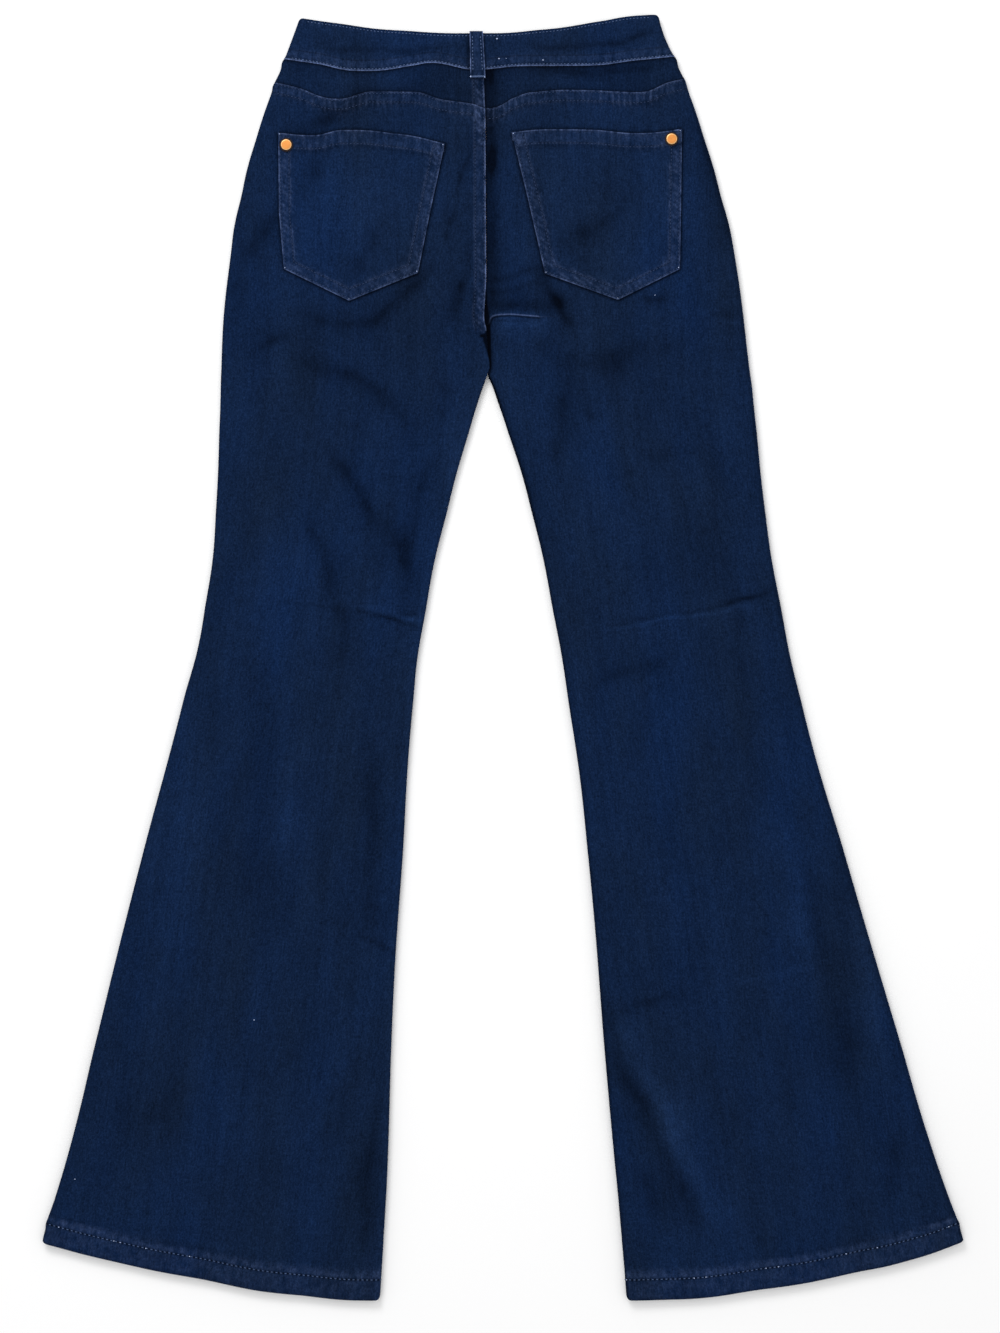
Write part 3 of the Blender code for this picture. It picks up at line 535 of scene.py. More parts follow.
class TrimSettings(bpy.types.PropertyGroup):
    """Rivets, button and zip."""

    copper: FloatVectorProperty(
        name="Copper", description="Rivets and button", default=(0.74, 0.325, 0.092), **COLOUR,
    )
    # The rim's paler copper is a painted highlight on the rivets' rims
    rim: FloatVectorProperty(
        name="Rim", description="The rivets' rims, a painted highlight", default=(0.92, 0.56, 0.26), **COLOUR,
    )
    # The foot's near-black is painted shadow round the rivet
    burnt: FloatVectorProperty(
        name="Rivet foot shadow", description="The rivet's dark foot", default=(0.020, 0.012, 0.012), **COLOUR,
    )
    rivet_height: FloatProperty(
        name="Rivet height", description="From the pocket up to the rivet's face", unit="LENGTH",
        min=0.0005, max=0.003, default=0.0011,
    )
    teeth_pitch: FloatProperty(
        name="Teeth", description="Distance from one zip tooth to the next", unit="LENGTH",
        min=0.001, max=0.004, default=0.0022,
    )
    tape: FloatVectorProperty(
        name="Zip tape", description="The tape's colour", default=(0.006, 0.012, 0.030), **COLOUR,
    )


class StageSettings(bpy.types.PropertyGroup):
    """The floor, the light and the camera."""

    floor: FloatVectorProperty(
        name="Floor", description="The floor's colour", default=(0.94, 0.94, 0.942), **COLOUR,
    )
    sky: FloatProperty(name="Sky", description="Strength of the light all round", min=0.0, default=0.86)
    key: FloatProperty(
        name="Key", description="Power of the large soft light, in watts", min=0.0, default=42.0,
    )
    lens: FloatProperty(name="Lens", description="Focal length, in millimetres", min=20.0, default=85.0)
    frame_height: FloatProperty(
        name="Frame height", description="Height of what the camera takes in, at the jeans", unit="LENGTH",
        min=0.2, default=1.17304,
    )
    seed: IntProperty(name="Seed", description="Chooses the cloth's small unevenness", default=7)


def mm(length):
    """A setting in metres, in millimetres."""
    return length / MM


def within(share):
    """The share, kept between 0 and 1."""
    return np.clip(share, 0.0, 1.0)


def ease(value, start, end):
    """0 before start, 1 after end, and smooth between them."""
    t = within((value - start) / (end - start))
    return t * t * (3 - 2 * t)


def mix(a, b, share):
    """From a at a share of 0 to b at 1."""
    return a + share * (b - a)


def bell(distance, width):
    """1 at no distance, and fading smoothly over the width."""
    return np.exp(-((distance / width) ** 2))


def curve(points):
    """A smooth function through (place, value) pairs that doesn't overshoot between them."""
    place, value = np.array(sorted(points), float).T
    length = np.diff(place)
    rise = np.diff(value) / length
    slope = np.zeros(len(place))
    slope[0], slope[-1] = rise[0], rise[-1]
    for i in range(1, len(place) - 1):
        if rise[i - 1] * rise[i] > 0:
            slope[i] = 2 * rise[i - 1] * rise[i] / (rise[i - 1] + rise[i])

    def at(where):
        i = np.clip(np.searchsorted(place, where) - 1, 0, len(length) - 1)
        t = within((where - place[i]) / length[i])
        start = value[i] + t * length[i] * slope[i]
        end = value[i + 1] - (1 - t) * length[i] * slope[i + 1]
        return start + t * t * (3 - 2 * t) * (end - start)

    return at


def chain(points, key, value):
    """Straight runs through the points."""
    order = sorted(points, key=lambda p: getattr(p, key))
    places = [getattr(p, key) for p in order]
    values = [getattr(p, value) for p in order]
    return lambda where: np.interp(where, places, values)


def level(value):
    """An edge that is the same all along."""
    return lambda place: value + 0.0 * place


def side_edge(name, outward):
    """A side edge, with its small swells where the seams and the hem end."""
    plain = curve([(s.y, getattr(s, f"side_{name}")) for s in SECTIONS])
    ends = SEAM_ENDS[name]
    return lambda y: plain(y) + outward * SEAM_SWELL * sum(bell(y - end, SEAM_REACH) for end in ends)


side = {"left": side_edge("left", -1), "right": side_edge("right", 1)}
centre_seam = curve([(s.y, s.inner_left) for s in SECTIONS if s.y >= CROTCH_Y])
inseam = {
    "left": curve([(s.y, s.inner_left) for s in SECTIONS if s.y <= CROTCH_Y]),
    "right": curve([(s.y, s.inner_right) for s in SECTIONS if s.y <= CROTCH_Y]),
}
parting = curve(PARTINGS)


def plain_inner(name, y):
    """A leg's inner edge in the layers under the back: the centre seam to the crotch, then the inseam."""
    line = np.where(y > CROTCH_Y, centre_seam(y), inseam[name](y))
    return line + (-GAP / 2 if name == "left" else GAP / 2)


def inner(name, y):
    """The same edge on the back, with the centre seam's wandering."""
    return plain_inner(name, y) + parting(y)


band_bottom = curve(BAND_BOTTOM)
front_band_bottom = curve(FRONT_BAND_BOTTOM)
yoke_seam = curve(YOKE_SEAM)
hem = curve(HEM)


def hem_edge(x):
    """The hem's lower edge, rounded at each leg's two corners."""
    near = np.minimum(np.abs(x) - HEM_INNER, HEM_OUTER - np.abs(x))
    short = HEM_CORNER * (1 - within(near / HEM_CORNER))
    return hem(x) + HEM_CORNER - np.sqrt(HEM_CORNER**2 - short**2)


def with_round_corners(edge):
    """The edge, dropping round a corner at each side seam."""

    def at(x):
        low = edge(x) - CORNER
        near = np.minimum(x - side["left"](low), side["right"](low) - x)
        short = np.maximum(CORNER - np.maximum(near, 0.0), 0.0)
        return edge(x) - CORNER + np.sqrt(CORNER**2 - short**2)

    return at


band_top = with_round_corners(curve(BAND_TOP))
front_band_top = with_round_corners(curve(FRONT_BAND_TOP))


def along_line(x, y, line):
    """Each place's distance from a line of places, and how far along the line it is, from 0 to 1."""
    away, along, gone = np.full_like(x, np.inf), np.zeros_like(x), 0.0
    for (x0, y0), (x1, y1) in zip(line, line[1:]):
        length = math.hypot(x1 - x0, y1 - y0)
        share = within(((x - x0) * (x1 - x0) + (y - y0) * (y1 - y0)) / length**2)
        distance = np.hypot(x - x0 - share * (x1 - x0), y - y0 - share * (y1 - y0))
        nearer = distance < away
        away = np.where(nearer, distance, away)
        along = np.where(nearer, gone + share * length, along)
        gone += length
    return away, along / gone


def distance_from(x, y, line):
    return along_line(x, y, line)[0]


def crease_height(x, y, spread=1.0):
    """How far the creases raise or lower the cloth. Their lines waver a little, and fade at both ends.

    A spread over 1 gives the broad, soft surround of each.
    """
    x = x + 1.3 * np.sin(y / 9.1 + x / 31.0) + 0.6 * np.sin(y / 4.3 + 1.0)
    y = y + 1.1 * np.sin(x / 10.3 + y / 27.0 + 2.0) + 0.5 * np.sin(x / 4.9)
    height = np.zeros_like(x)
    for crease in CREASES:
        away, along = along_line(x, y, crease.line)
        fade = np.sqrt(np.sin(math.pi * mix(0.07, 0.93, along)))
        unsteady = 0.82 + 0.18 * np.sin(along * 11.0 + crease.width * 5.0)
        height += crease.height * fade * unsteady * bell(away, crease.width * spread)
    return height


def patch_sum(x, y, what):
    """The patches' tone or wear at a place."""
    total = np.zeros_like(x)
    for patch in PATCHES:
        away = ((x - patch.x) / patch.reach_x) ** 2 + ((y - patch.y) / patch.reach_y) ** 2
        total += getattr(patch, what) * np.exp(-away)
    return total


SWELLS = (140.0, 96.0, 71.0, 47.0, 33.0, 24.0, 17.0)  # lengths of the waves in cloth that lies flat
SWELL_SHARE = 0.0011  # their height, for a length of 1


def unevenness(x, y):
    """Small swells that no flat cloth is free of: waves in several directions, from a fixed seed."""
    draw = np.random.default_rng(bpy.context.scene.jeans_stage.seed)
    height = np.zeros_like(x)
    for length in SWELLS:
        angle = draw.uniform(-0.5, 0.5) * math.pi
        start = draw.uniform(0, 2 * math.pi)
        phase = (x * math.cos(angle) + y * math.sin(angle)) * 2 * math.pi / length
        bend = 1.3 * np.sin(y / (length * 0.8) + start)
        height += SWELL_SHARE * length * np.sin(phase + bend + start)
    return height


def lie(x, y):
    """Height of the back's plain face, away from its edges."""
    across, along = (x - CENTRE_X) / CLOSURE_ACROSS, (y - CLOSURE_Y) / CLOSURE_ALONG
    over_closure = CLOSURE_FULLNESS * np.exp(-(across**2) - along**2)
    return LIE + over_closure + CREASE_DEPTH * crease_height(x, y) + unevenness(x, y)


def roping(along, spacing):
    """The uneven ribs along a sewn band, between -1 and 1."""
    drift = 0.9 * np.sin(along / (2.3 * spacing)) + 0.6 * np.sin(along / (1.1 * spacing) + 1.0)
    strength = 0.65 + 0.35 * np.sin(along / (3.7 * spacing) + 2.0)
    return strength * np.sin(2 * math.pi * along / spacing + drift)


# Where the points of a piece are: their places, and their distances from its left and right edges
Spot = namedtuple("Spot", "x y from_left from_right")


def spot_between(left, right, x, y):
    return Spot(x, y, x - left(y), right(y) - x)


# How far a piece's left and right edges turn over: 0 for a flat edge, 1 for a whole half-round
Turn = namedtuple("Turn", "left right")


def both_sides(spot, turn):
    return (spot.from_left, turn.left), (spot.from_right, turn.right)


def turned(distance):
    """How far a round turned edge has dropped at a distance in from it."""
    short = np.maximum(RADIUS - distance, 0.0)
    return RADIUS - np.sqrt(np.maximum(RADIUS**2 - short**2, 0.0))


def edge_drop(spot, turn):
    """How far the face has dropped. A part-turned edge drops a little less, to leave its wall room."""
    sides = both_sides(spot, turn)
    return sum(share * (1 - share * (1 - share)) * turned(distance) for distance, share in sides)


def outward(spot, turn):
    """The cloth's outward direction: straight out of the face, and sideways at a turned edge."""
    sideways = turn.right * within(1 - spot.from_right / RADIUS)
    sideways = sideways - turn.left * within(1 - spot.from_left / RADIUS)
    return np.stack([sideways, 0.0 * spot.x, np.sqrt(1 - sideways**2)], axis=1)


def back_face(spot, rise, turn):
    """Outer height on the back: smooth and full in the middle, turned over at its edges."""
    height = lie(spot.x, spot.y) + rise
    for distance, share in both_sides(spot, turn):
        near = bell(np.maximum(distance - RADIUS, 0.0), EDGE_REACH)
        height = mix(height, 2 * RADIUS + GAP, near * share)
    return height - edge_drop(spot, turn)


def standing(spot, turn):
    """The share of a lap's height that it keeps as its edge turns over."""
    return 1 - edge_drop(spot, turn) / RADIUS


def leg_outward(name):
    return lambda spot: outward(spot, leg_turn(name, spot.y))


def lap_beside(distance, width):
    """1 on a lap of this width along an edge, 0 beyond its step."""
    return within((width + LAP_STEP - distance) / LAP_STEP)


def outer_turn(name):
    """A yoke or half of the waistband is turned at its side edge alone."""
    return Turn(1.0, 0.0) if name == "left" else Turn(0.0, 1.0)


def leg_turn(name, y):
    """A leg's side edge is turned all the way down, its inner edge only along the inseam."""
    share = 1 - ease(y, CROTCH_Y - INSEAM_START, CROTCH_Y)
    return Turn(1.0, share) if name == "left" else Turn(share, 1.0)


# A column's place is left + share * (right - left) + offset
Column = namedtuple("Column", "share offset")

# A row's place is height + top * the top edge + bottom * the bottom edge
Row = namedtuple("Row", "height top bottom")


def row_at(height):
    return Row(height, 0.0, 0.0)


def over_bottom(height):
    return Row(height, 0.0, 1.0)


def under_top(depth):
    return Row(-depth, 1.0, 0.0)


def columns(first, count, last):
    """Columns at fixed distances in from the left and right edges, with even steps between them."""
    made = [Column(0.0, distance) for distance in first]
    for i in range(1, count):
        share = i / count
        made.append(Column(share, first[-1] * (1 - share) - last[-1] * share))
    return made + [Column(1.0, -distance) for distance in reversed(last)]


def rows(*stops):
    """Rows from (row, steps to the next one) pairs, from the bottom up."""
    made = []
    for (low, steps), (high, _) in zip(stops, stops[1:]):
        for share in np.linspace(0, 1, steps + 1)[:-1]:
            made.append(Row(*(mix(a, b, share) for a, b in zip(low, high))))
    return made + [stops[-1][0]]


# The steps of a turned edge, closer together where it is steeper
TURN_STEPS = [RADIUS * (1 - math.cos(math.radians(angle))) for angle in (0, 18, 34, 48, 62, 76, 90)]
LAPPED = [0.0, 0.6, 1.7, 3.2, 5.2, 7.2, 9.2, FELL_WIDTH, FELL_WIDTH + LAP_STEP]


class Cut:
    """A piece of cloth between four edges, with the columns and rows of its grid."""

    def __init__(self, left, right, across, up, top=level(0.0), bottom=level(0.0)):
        self.left, self.right = left, right
        self.top, self.bottom = top, bottom
        self.across = np.array(across)
        self.up = np.array(up)

    def spots(self, column, row):
        """The places of points at these columns and rows, which may fall between two."""
        share, offset = (np.interp(column, range(len(self.across)), each) for each in self.across.T)
        height, top, bottom = (np.interp(row, range(len(self.up)), each) for each in self.up.T)
        x = np.zeros_like(share)
        for _ in range(SETTLING):
            y = height + top * self.top(x) + bottom * self.bottom(x)
            x = self.left(y) + share * (self.right(y) - self.left(y)) + offset
        y = height + top * self.top(x) + bottom * self.bottom(x)
        return spot_between(self.left, self.right, x, y)

    def flat_size(self):
        """Width, length and area of the flat piece, in metres, from its outline."""
        last_column, last_row, steps = len(self.across) - 1, len(self.up) - 1, 80
        there = np.linspace(0, 1, steps)
        column = np.concatenate([there, 1 + 0 * there, there[::-1], 0 * there]) * last_column
        row = np.concatenate([0 * there, there, 1 + 0 * there, there[::-1]]) * last_row
        spot = self.spots(column, row)
        area = abs(np.sum(spot.x * np.roll(spot.y, -1) - spot.y * np.roll(spot.x, -1))) / 2
        return np.ptp(spot.x) * MM, np.ptp(spot.y) * MM, area * MM * MM


# A stretch of a grid that is divided finer: from one column and row to another, and which way
Finer = namedtuple("Finer", "first_column last_column first_row last_row across cuts")


def smooth_mesh(name, shapes):
    """The finished shapes as a mesh, smooth but for its sharp edges."""
    mesh = bpy.data.meshes.new(name)
    shapes.to_mesh(mesh)
    shapes.free()
    mesh.shade_smooth()
    mesh.set_sharp_from_angle(angle=SHARP)
    return mesh


def add_piece(name, mesh, finishes, nodes):
    """Puts a finished mesh in the scene, in place of the solids that it stands for."""
    piece = bpy.data.objects.new(name, mesh)
    bpy.context.scene.collection.objects.link(piece)
    for finish in finishes:
        mesh.materials.append(finish)
    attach(piece, "root")
    if nodes:
        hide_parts(*nodes)
    return piece


def divide(grid, finer):
    """Divides the grid's edges in a stretch of it, along one direction."""
    inside = []
    for edge in grid.edges:
        ends = [vert.co for vert in edge.verts]
        runs_across = abs(ends[0].x - ends[1].x) > abs(ends[0].y - ends[1].y)
        if runs_across == finer.across and all(
            finer.first_column - 0.1 < co.x < finer.last_column + 0.1
            and finer.first_row - 0.1 < co.y < finer.last_row + 0.1
            for co in ends
        ):
            inside.append(edge)
    bmesh.ops.subdivide_edges(grid, edges=inside, cuts=finer.cuts, use_grid_fill=True)


def cloth_sheet(name, cut, face, wall, marks, finish, facing=None, inside=-1, finer=(), nodes=None):
    """A grid laid out on a cut and extruded into a wall: one side takes the face's height, the other lies
    a wall's thickness inside it.

    At its spots, face gives the outer height, wall the thickness, facing the outward direction, and marks
    what the finish reads, by name. inside is -1 where the wall hangs under its face, and 1 where it stands
    on it.
    """
    grid = bmesh.new()
    last_column, last_row = len(cut.across) - 1, len(cut.up) - 1
    bmesh.ops.create_grid(grid, x_segments=last_column, y_segments=last_row, size=0.5)
    bmesh.ops.translate(grid, verts=grid.verts[:], vec=(0.5, 0.5, 0.0))
    bmesh.ops.scale(grid, verts=grid.verts[:], vec=(last_column, last_row, 1.0))
    for stretch in finer:
        divide(grid, stretch)
    extruded = bmesh.ops.extrude_face_region(grid, geom=grid.faces[:], use_keep_orig=True)["geom"]
    lining = {item for item in extruded if isinstance(item, bmesh.types.BMVert)}
    grid.verts.index_update()
    place = np.array([vert.co[:2] for vert in grid.verts])
    is_lining = np.array([vert in lining for vert in grid.verts], float)
    spot = cut.spots(place[:, 0], place[:, 1])
    points = np.stack([spot.x, spot.y, face(spot) + 0.0 * spot.x], axis=1)
    out = facing(spot) if facing else np.array([[0.0, 0.0, 1.0]])
    points += out * (-1, -1, inside) * (wall(spot) * is_lining)[:, None]
    for vert, point in zip(grid.verts, points * MM):
        vert.co = point
    bmesh.ops.recalc_face_normals(grid, faces=grid.faces[:])
    mesh = smooth_mesh(name, grid)

    values = dict.fromkeys(("edge", "hem", "shade", "lip", "hollow"), AFAR)
    values.update(tone=0.0, band=0.0, wear=1.0, worn=0.0, sewn=0.0)
    values.update(marks(spot))
    values["lining"] = is_lining
    for mark, value in values.items():
        layer = mesh.attributes.new(mark, "FLOAT", "POINT")
        layer.data.foreach_set("value", np.broadcast_to(value, is_lining.shape).astype(np.float32))
    corners = np.zeros(len(mesh.loops), np.int32)
    mesh.loops.foreach_get("vertex_index", corners)
    weave = mesh.uv_layers.new(name="cloth")
    weave.data.foreach_set("uv", (grain_place(spot) * MM)[corners].astype(np.float32).ravel())

    return add_piece(name, mesh, [finish], nodes or [name]), cut.flat_size()


def grain_place(spot):
    """Each point's place across and along the straight grain, which follows each leg down its flare."""
    below_seat = np.maximum(CROTCH_Y - spot.y, 0.0)
    tilt = np.where(spot.x < CENTRE_X, -0.12, 0.13)
    return np.stack([spot.x - tilt * below_seat, spot.y], axis=1)


def operator(name, swapped=False):
    """One of Python's operators, as a Math node."""
    if swapped:
        return lambda value, other: value.math(name, other, value)
    return lambda value, other: value.math(name, value, other)


class Number:
    """A value in a material. Python's operators on it add Math nodes."""

    def __init__(self, finish, socket):
        self.finish = finish
        self.socket = socket

    def math(self, operation, *values, clamp=False):
        return self.finish.number("ShaderNodeMath", {"operation": operation, "use_clamp": clamp}, *values)

    __add__ = __radd__ = operator("ADD")
    __sub__ = operator("SUBTRACT")
    __rsub__ = operator("SUBTRACT", swapped=True)
    __mul__ = __rmul__ = operator("MULTIPLY")
    __truediv__ = operator("DIVIDE")

    def clamped(self):
        return self.math("ADD", self, 0.0, clamp=True)

    def sine(self):
        return self.math("SINE", self)

    def bell(self, width):
        """1 where the value is 0, fading over the width."""
        share = self / width
        return self.math("EXPONENT", share * share * -1.0)

    def at_least(self, limit):
        return self.math("MAXIMUM", self, limit)

    def below(self, limit, blur):
        """1 below the limit, 0 above it."""
        return ((limit - self) / blur).clamped()


class Finish:
    """A material made node by node."""

    def __init__(self, name, **constants):
        self.material = bpy.data.materials.new(name)
        self.material.use_nodes = True
        self.tree = self.material.node_tree
        self.shader = self.tree.nodes["Principled BSDF"]
        for socket, value in constants.items():
            self.set(socket.replace("_", " "), value)

    def node(self, kind, settings, *values, **named):
        """Adds a node: first its settings, then its sockets, in their order or by name."""
        node = self.tree.nodes.new(kind)
        for key, value in settings.items():
            setattr(node, key, value)
        for socket, value in [*zip(node.inputs, values), *((node.inputs[key], named[key]) for key in named)]:
            self.fill(socket, value)
        return node

    def fill(self, socket, value):
        value = value.socket if isinstance(value, Number) else value
        if isinstance(value, bpy.types.NodeSocket):
            self.tree.links.new(value, socket)
        else:
            socket.default_value = value

    def set(self, socket, value):
        """Gives one of the shader's own sockets its value."""
        self.fill(self.shader.inputs[socket], value)

    def number(self, kind, settings, *values, output=0, **named):
        return Number(self, self.node(kind, settings, *values, **named).outputs[output])

    def mark(self, name):
        return self.number("ShaderNodeAttribute", {"attribute_name": name}, output="Fac")

    def noise(self, place, across, along, detail=1.0):
        """Noise with this many features a metre across and along the grain, from 0 to 1."""
        scaled = self.node("ShaderNodeVectorMath", {"operation": "MULTIPLY"}, place, (across, along, along))
        return self.number(
            "ShaderNodeTexNoise", {"noise_dimensions": "3D"}, output="Fac",
            Vector=scaled.outputs[0], Scale=1.0, Detail=detail, Roughness=0.55,
        )

    def blend(self, share, first, second):
        """A colour between two others."""
        mixed = self.tree.nodes.new("ShaderNodeMix")
        mixed.data_type = "RGBA"
        sockets = [each for each in mixed.inputs if each.type == "RGBA"]
        self.fill(mixed.inputs["Factor"], share)
        self.fill(sockets[0], first)
        self.fill(sockets[1], second)
        return next(each for each in mixed.outputs if each.type == "RGBA")

    def dimmed(self, colour, share):
        scaled = self.node("ShaderNodeVectorMath", {"operation": "SCALE"}, colour)
        self.fill(scaled.inputs["Scale"], share)
        return scaled.outputs[0]

    def bump(self, height, distance, strength=1.0):
        raised = self.node("ShaderNodeBump", {}, Height=height, Distance=distance, Strength=strength)
        self.set("Normal", raised.outputs[0])


TONE_STEP = 0.28  # how much paler the cloth is for a tone of 1; the tone holds painted light and shade as well as the roping
TWILL_SLANT = 0.62  # how steeply the twill's ribs cross the warp

# The cloth's noises, from its yarns to the drift of its dye: how many features each has in a metre
# across and along the grain, and its detail
Noise = namedtuple("Noise", "name across along detail")
NOISES = table(
    Noise,
    ("weave", 640.0, 430.0, 1.0),
    ("streak", 700.0, 130.0, 1.0),
    ("slub", 190.0, 9.0, 1.0),
    ("fleck", 1150.0, 850.0, 1.0),
    ("drift", 14.0, 4.5, 3.0),
    ("blotch", 44.0, 16.0, 2.0),
    ("mottle", 180.0, 110.0, 1.0),
)
HOLE_PHASE = 2 * math.pi * (HEM_STITCH / HEM_PITCH / 2 - 0.25)  # a hole is midway between two stitches


def denim_finish(name, worn=1.0, lapped=0.11, even=0.0):
    """Indigo twill: warp yarns along the grain, pale weft between them, worn pale along its folded edges,
    with light and shade painted in where the pieces' marks say.

    lapped is how much the inner edge of a lap shows through, and even how evenly a fold is worn.
    """
    existing = bpy.data.materials.get(name)
    if existing:
        return existing
    settings = bpy.context.scene.jeans_denim
    finish = Finish(name, Roughness=0.92, Specular_IOR_Level=0.012, Sheen_Weight=0.03, Sheen_Roughness=0.6)
    finish.set("Sheen Tint", (0.35, 0.5, 1.0, 1.0))
    place = finish.node("ShaderNodeUVMap", {"uv_map": "cloth"}).outputs["UV"]
    marks = ("edge", "hem", "shade", "tone", "band", "lining", "wear", "worn", "sewn", "lip", "hollow")
    edge, hem_share, shade, tone, band, lining, wear, worn_off, sewn, lip, hollow = map(finish.mark, marks)
    noises = (finish.noise(place, kind.across, kind.along, kind.detail) for kind in NOISES)
    weave, streak, slub, fleck, drift, blotch, mottle = noises
    apart = finish.node("ShaderNodeSeparateXYZ", {}, place)
    across, along = Number(finish, apart.outputs["X"]), Number(finish, apart.outputs["Y"])
    rib = ((across * TWILL_SLANT + along) * (2 * math.pi / settings.twill)).sine()

    # The yarns, and the broad unevenness of the dye
    grain = (weave - 0.5) * 1.05 + (streak - 0.5) * 0.85 + (slub - 0.5) * 0.4 + (fleck - 0.5) * 0.95
    grain = grain + rib * 0.03
    uneven = (drift - 0.5) * 0.45 + (blotch - 0.5) * 0.6 + (mottle - 0.5) * 0.4
    weft = ((weave + fleck) * 0.5 - 0.47).clamped()

    # The grooves that the sewing draws and the holes between its stitches, both painted in shade, and the
    # seam's folded edges, worn pale
    in_band = edge.below(FELL_WIDTH + LAP_STEP, 1.0)
    rows = (edge - FIRST_ROW).bell(0.75) * 0.6 + (edge - SECOND_ROW).bell(0.8)
    on_row = (hem_share - HEM_ROW / HEM_DEPTH).bell(0.055)
    hole = ((sewn * (2 * math.pi) - HOLE_PHASE).sine() * 2.2 - 0.9).clamped() * on_row
    broken = (((mottle - 0.28) * 2.4).clamped() * (1 - even) + even * 0.75) * (0.5 + weave)
    fold_line = (edge - 0.5).bell(0.6) * broken * wear * (0.85 * worn)
    lap_end = (edge - LAP_LINE).bell(0.6) * broken * wear * lapped

    # How far the dye is worn off, with a painted highlight along the crotch fold's lip
    patchy = ((mottle - 0.3) * 3.2).clamped() * (0.6 + weave)
    wear_and_lip_highlight = fold_line + lap_end + (in_band * 0.024 + band * 0.018 + worn_off) * patchy + weft * 0.08
    wear_and_lip_highlight = wear_and_lip_highlight + (lip + 0.35).bell(0.55) * 0.34

    # How light the cloth is: painted shade beside a step, along its sewing, in the stitch holes, under the
    # lip and in the hollow, and the tone's painted light and shade
    beside = shade.bell(2.2)
    light = (grain * settings.grain + 1.0).at_least(0.2) * (tone * TONE_STEP + 1.0).at_least(0.15)
    light = light * (uneven + 1.0) * (1.0 - beside * 0.6) * (1.0 - (rows * 0.32).clamped())
    light = light * (1.0 - on_row * 0.36) * (1.0 - hole * 0.75)
    light = light * (1.0 - (lip - 1.15).bell(0.9) * 0.7) * (1.0 - hollow.below(0.6, 1.3) * 0.86)

    dye = finish.blend(((drift - 0.35) * 3.0).clamped(), (*settings.ink, 1.0), (*settings.indigo, 1.0))
    faded = finish.blend(wear_and_lip_highlight.clamped(), dye, (*settings.faded, 1.0))
    coloured = finish.dimmed(faded, light)
    reverse = finish.dimmed((*settings.reverse,), 0.7 + fleck * 0.6)
    finish.set("Base Color", finish.blend(lining, coloured, reverse))
    relief = weave * 0.6 + fleck * 0.4 + rib * 0.12 + mottle * in_band * 0.8 - rows * 0.5 - hole * 1.2
    finish.bump(relief, 0.00022)
    return finish.material


def thread_finish(name, colour):
    """Twisted thread."""
    finish = Finish(name, Roughness=0.7, Specular_IOR_Level=0.12)
    place = finish.node("ShaderNodeTexCoord", {}).outputs["Object"]
    twist = finish.noise(place, 900.0, 900.0)
    finish.set("Base Color", finish.dimmed((*colour,), 0.45 + twist * 1.1))
    return finish.material


def metal_finish(name, colour, roughness, metallic=1.0):
    """Plated metal, brushed a little and dulled in patches, or the rivet's dark foot, which is a painted
    shadow.
    """
    finish = Finish(name, Metallic=metallic, Specular_IOR_Level=0.2)
    place = finish.node("ShaderNodeTexCoord", {}).outputs["Object"]
    scuffs = finish.noise(place, 900.0, 900.0, detail=3.0)
    patches = finish.noise(place, 260.0, 260.0)
    finish.set("Base Color", finish.dimmed((*colour,), 0.82 + patches * 0.36))
    finish.set("Roughness", roughness - 0.1 + scuffs * 0.2)
    finish.bump(scuffs, 0.00003)
    return finish.material


def painted_light_and_shade(spot):
    """Painted light and shade: how much paler the ridges are painted and how much deeper the troughs are
    shaded, each in a soft surround, with the patches' painted light and shade.
    """
    creases = CREASE_TONE * crease_height(spot.x, spot.y)
    surround = SURROUND_TONE * crease_height(spot.x, spot.y, SURROUND_REACH)
    return creases + surround + patch_sum(spot.x, spot.y, "tone")


def cloth_worn(spot, beads):
    """How far the dye is worn off: in patches, and on the beads along the seams."""
    return patch_sum(spot.x, spot.y, "worn") + BEAD_WEAR * np.maximum(beads, 0.0)


def pucker():
    return mm(bpy.context.scene.jeans_denim.pucker)


def run_along(line):
    """The length reached at each point of a line."""
    return np.concatenate([[0.0], np.cumsum(np.hypot(*np.diff(line, axis=0).T))])


def leg_rows(step):
    """A leg's rows, from the hem up."""
    heights = [LEG_TOP_ROW]
    for part in LEG_ROWS:
        count = max(round((heights[-1] - part.until) / getattr(part, step)), 1)
        heights += list(np.linspace(heights[-1], part.until, count + 1))[1:]
    levels = [(row_at(y), 1) for y in reversed(heights)]
    above_hem = 1 if step == "front_step" else 8
    lowest = [
        (over_bottom(0.0), 1), (over_bottom(FOLD), 6), (over_bottom(HEM_DEPTH), 1),
        (over_bottom(HEM_DEPTH + LAP_STEP), above_hem),
    ]
    return lowest, levels


def pocket_on(name):
    return next(pocket for pocket in POCKETS if pocket.side == name)


def pocket_corners(pocket):
    """A pocket's corners, from its top right down round to its top left."""
    return [*pocket.right_edge, pocket.point, *reversed(pocket.left_edge)]


def pocket_outline(pocket):
    """A pocket's corners and points along its top edge, all the way round."""
    top = curve(pocket.top)
    upper = [Point(x, float(top(x))) for x in np.linspace(pocket.top[0].x, pocket.top[-1].x, 12)]
    return upper + pocket_corners(pocket)[1:]


def pocket_edges(pocket):
    """A pocket's left, right, top and bottom edges."""
    left = chain(pocket.left_edge, "y", "x")
    right = chain(pocket.right_edge, "y", "x")
    bottom = chain([pocket.left_edge[-1], pocket.point, pocket.right_edge[-1]], "x", "y")
    return left, right, curve(pocket.top), bottom


def outside_pocket(pocket, x, y):
    """Distance out from a pocket's outline, negative inside it."""
    left, right, top, bottom = pocket_edges(pocket)
    is_inside = (x > left(y)) & (x < right(y)) & (y < top(x)) & (y > bottom(x))
    away = distance_from(x, y, pocket_outline(pocket))
    return np.where(is_inside, -away, away)


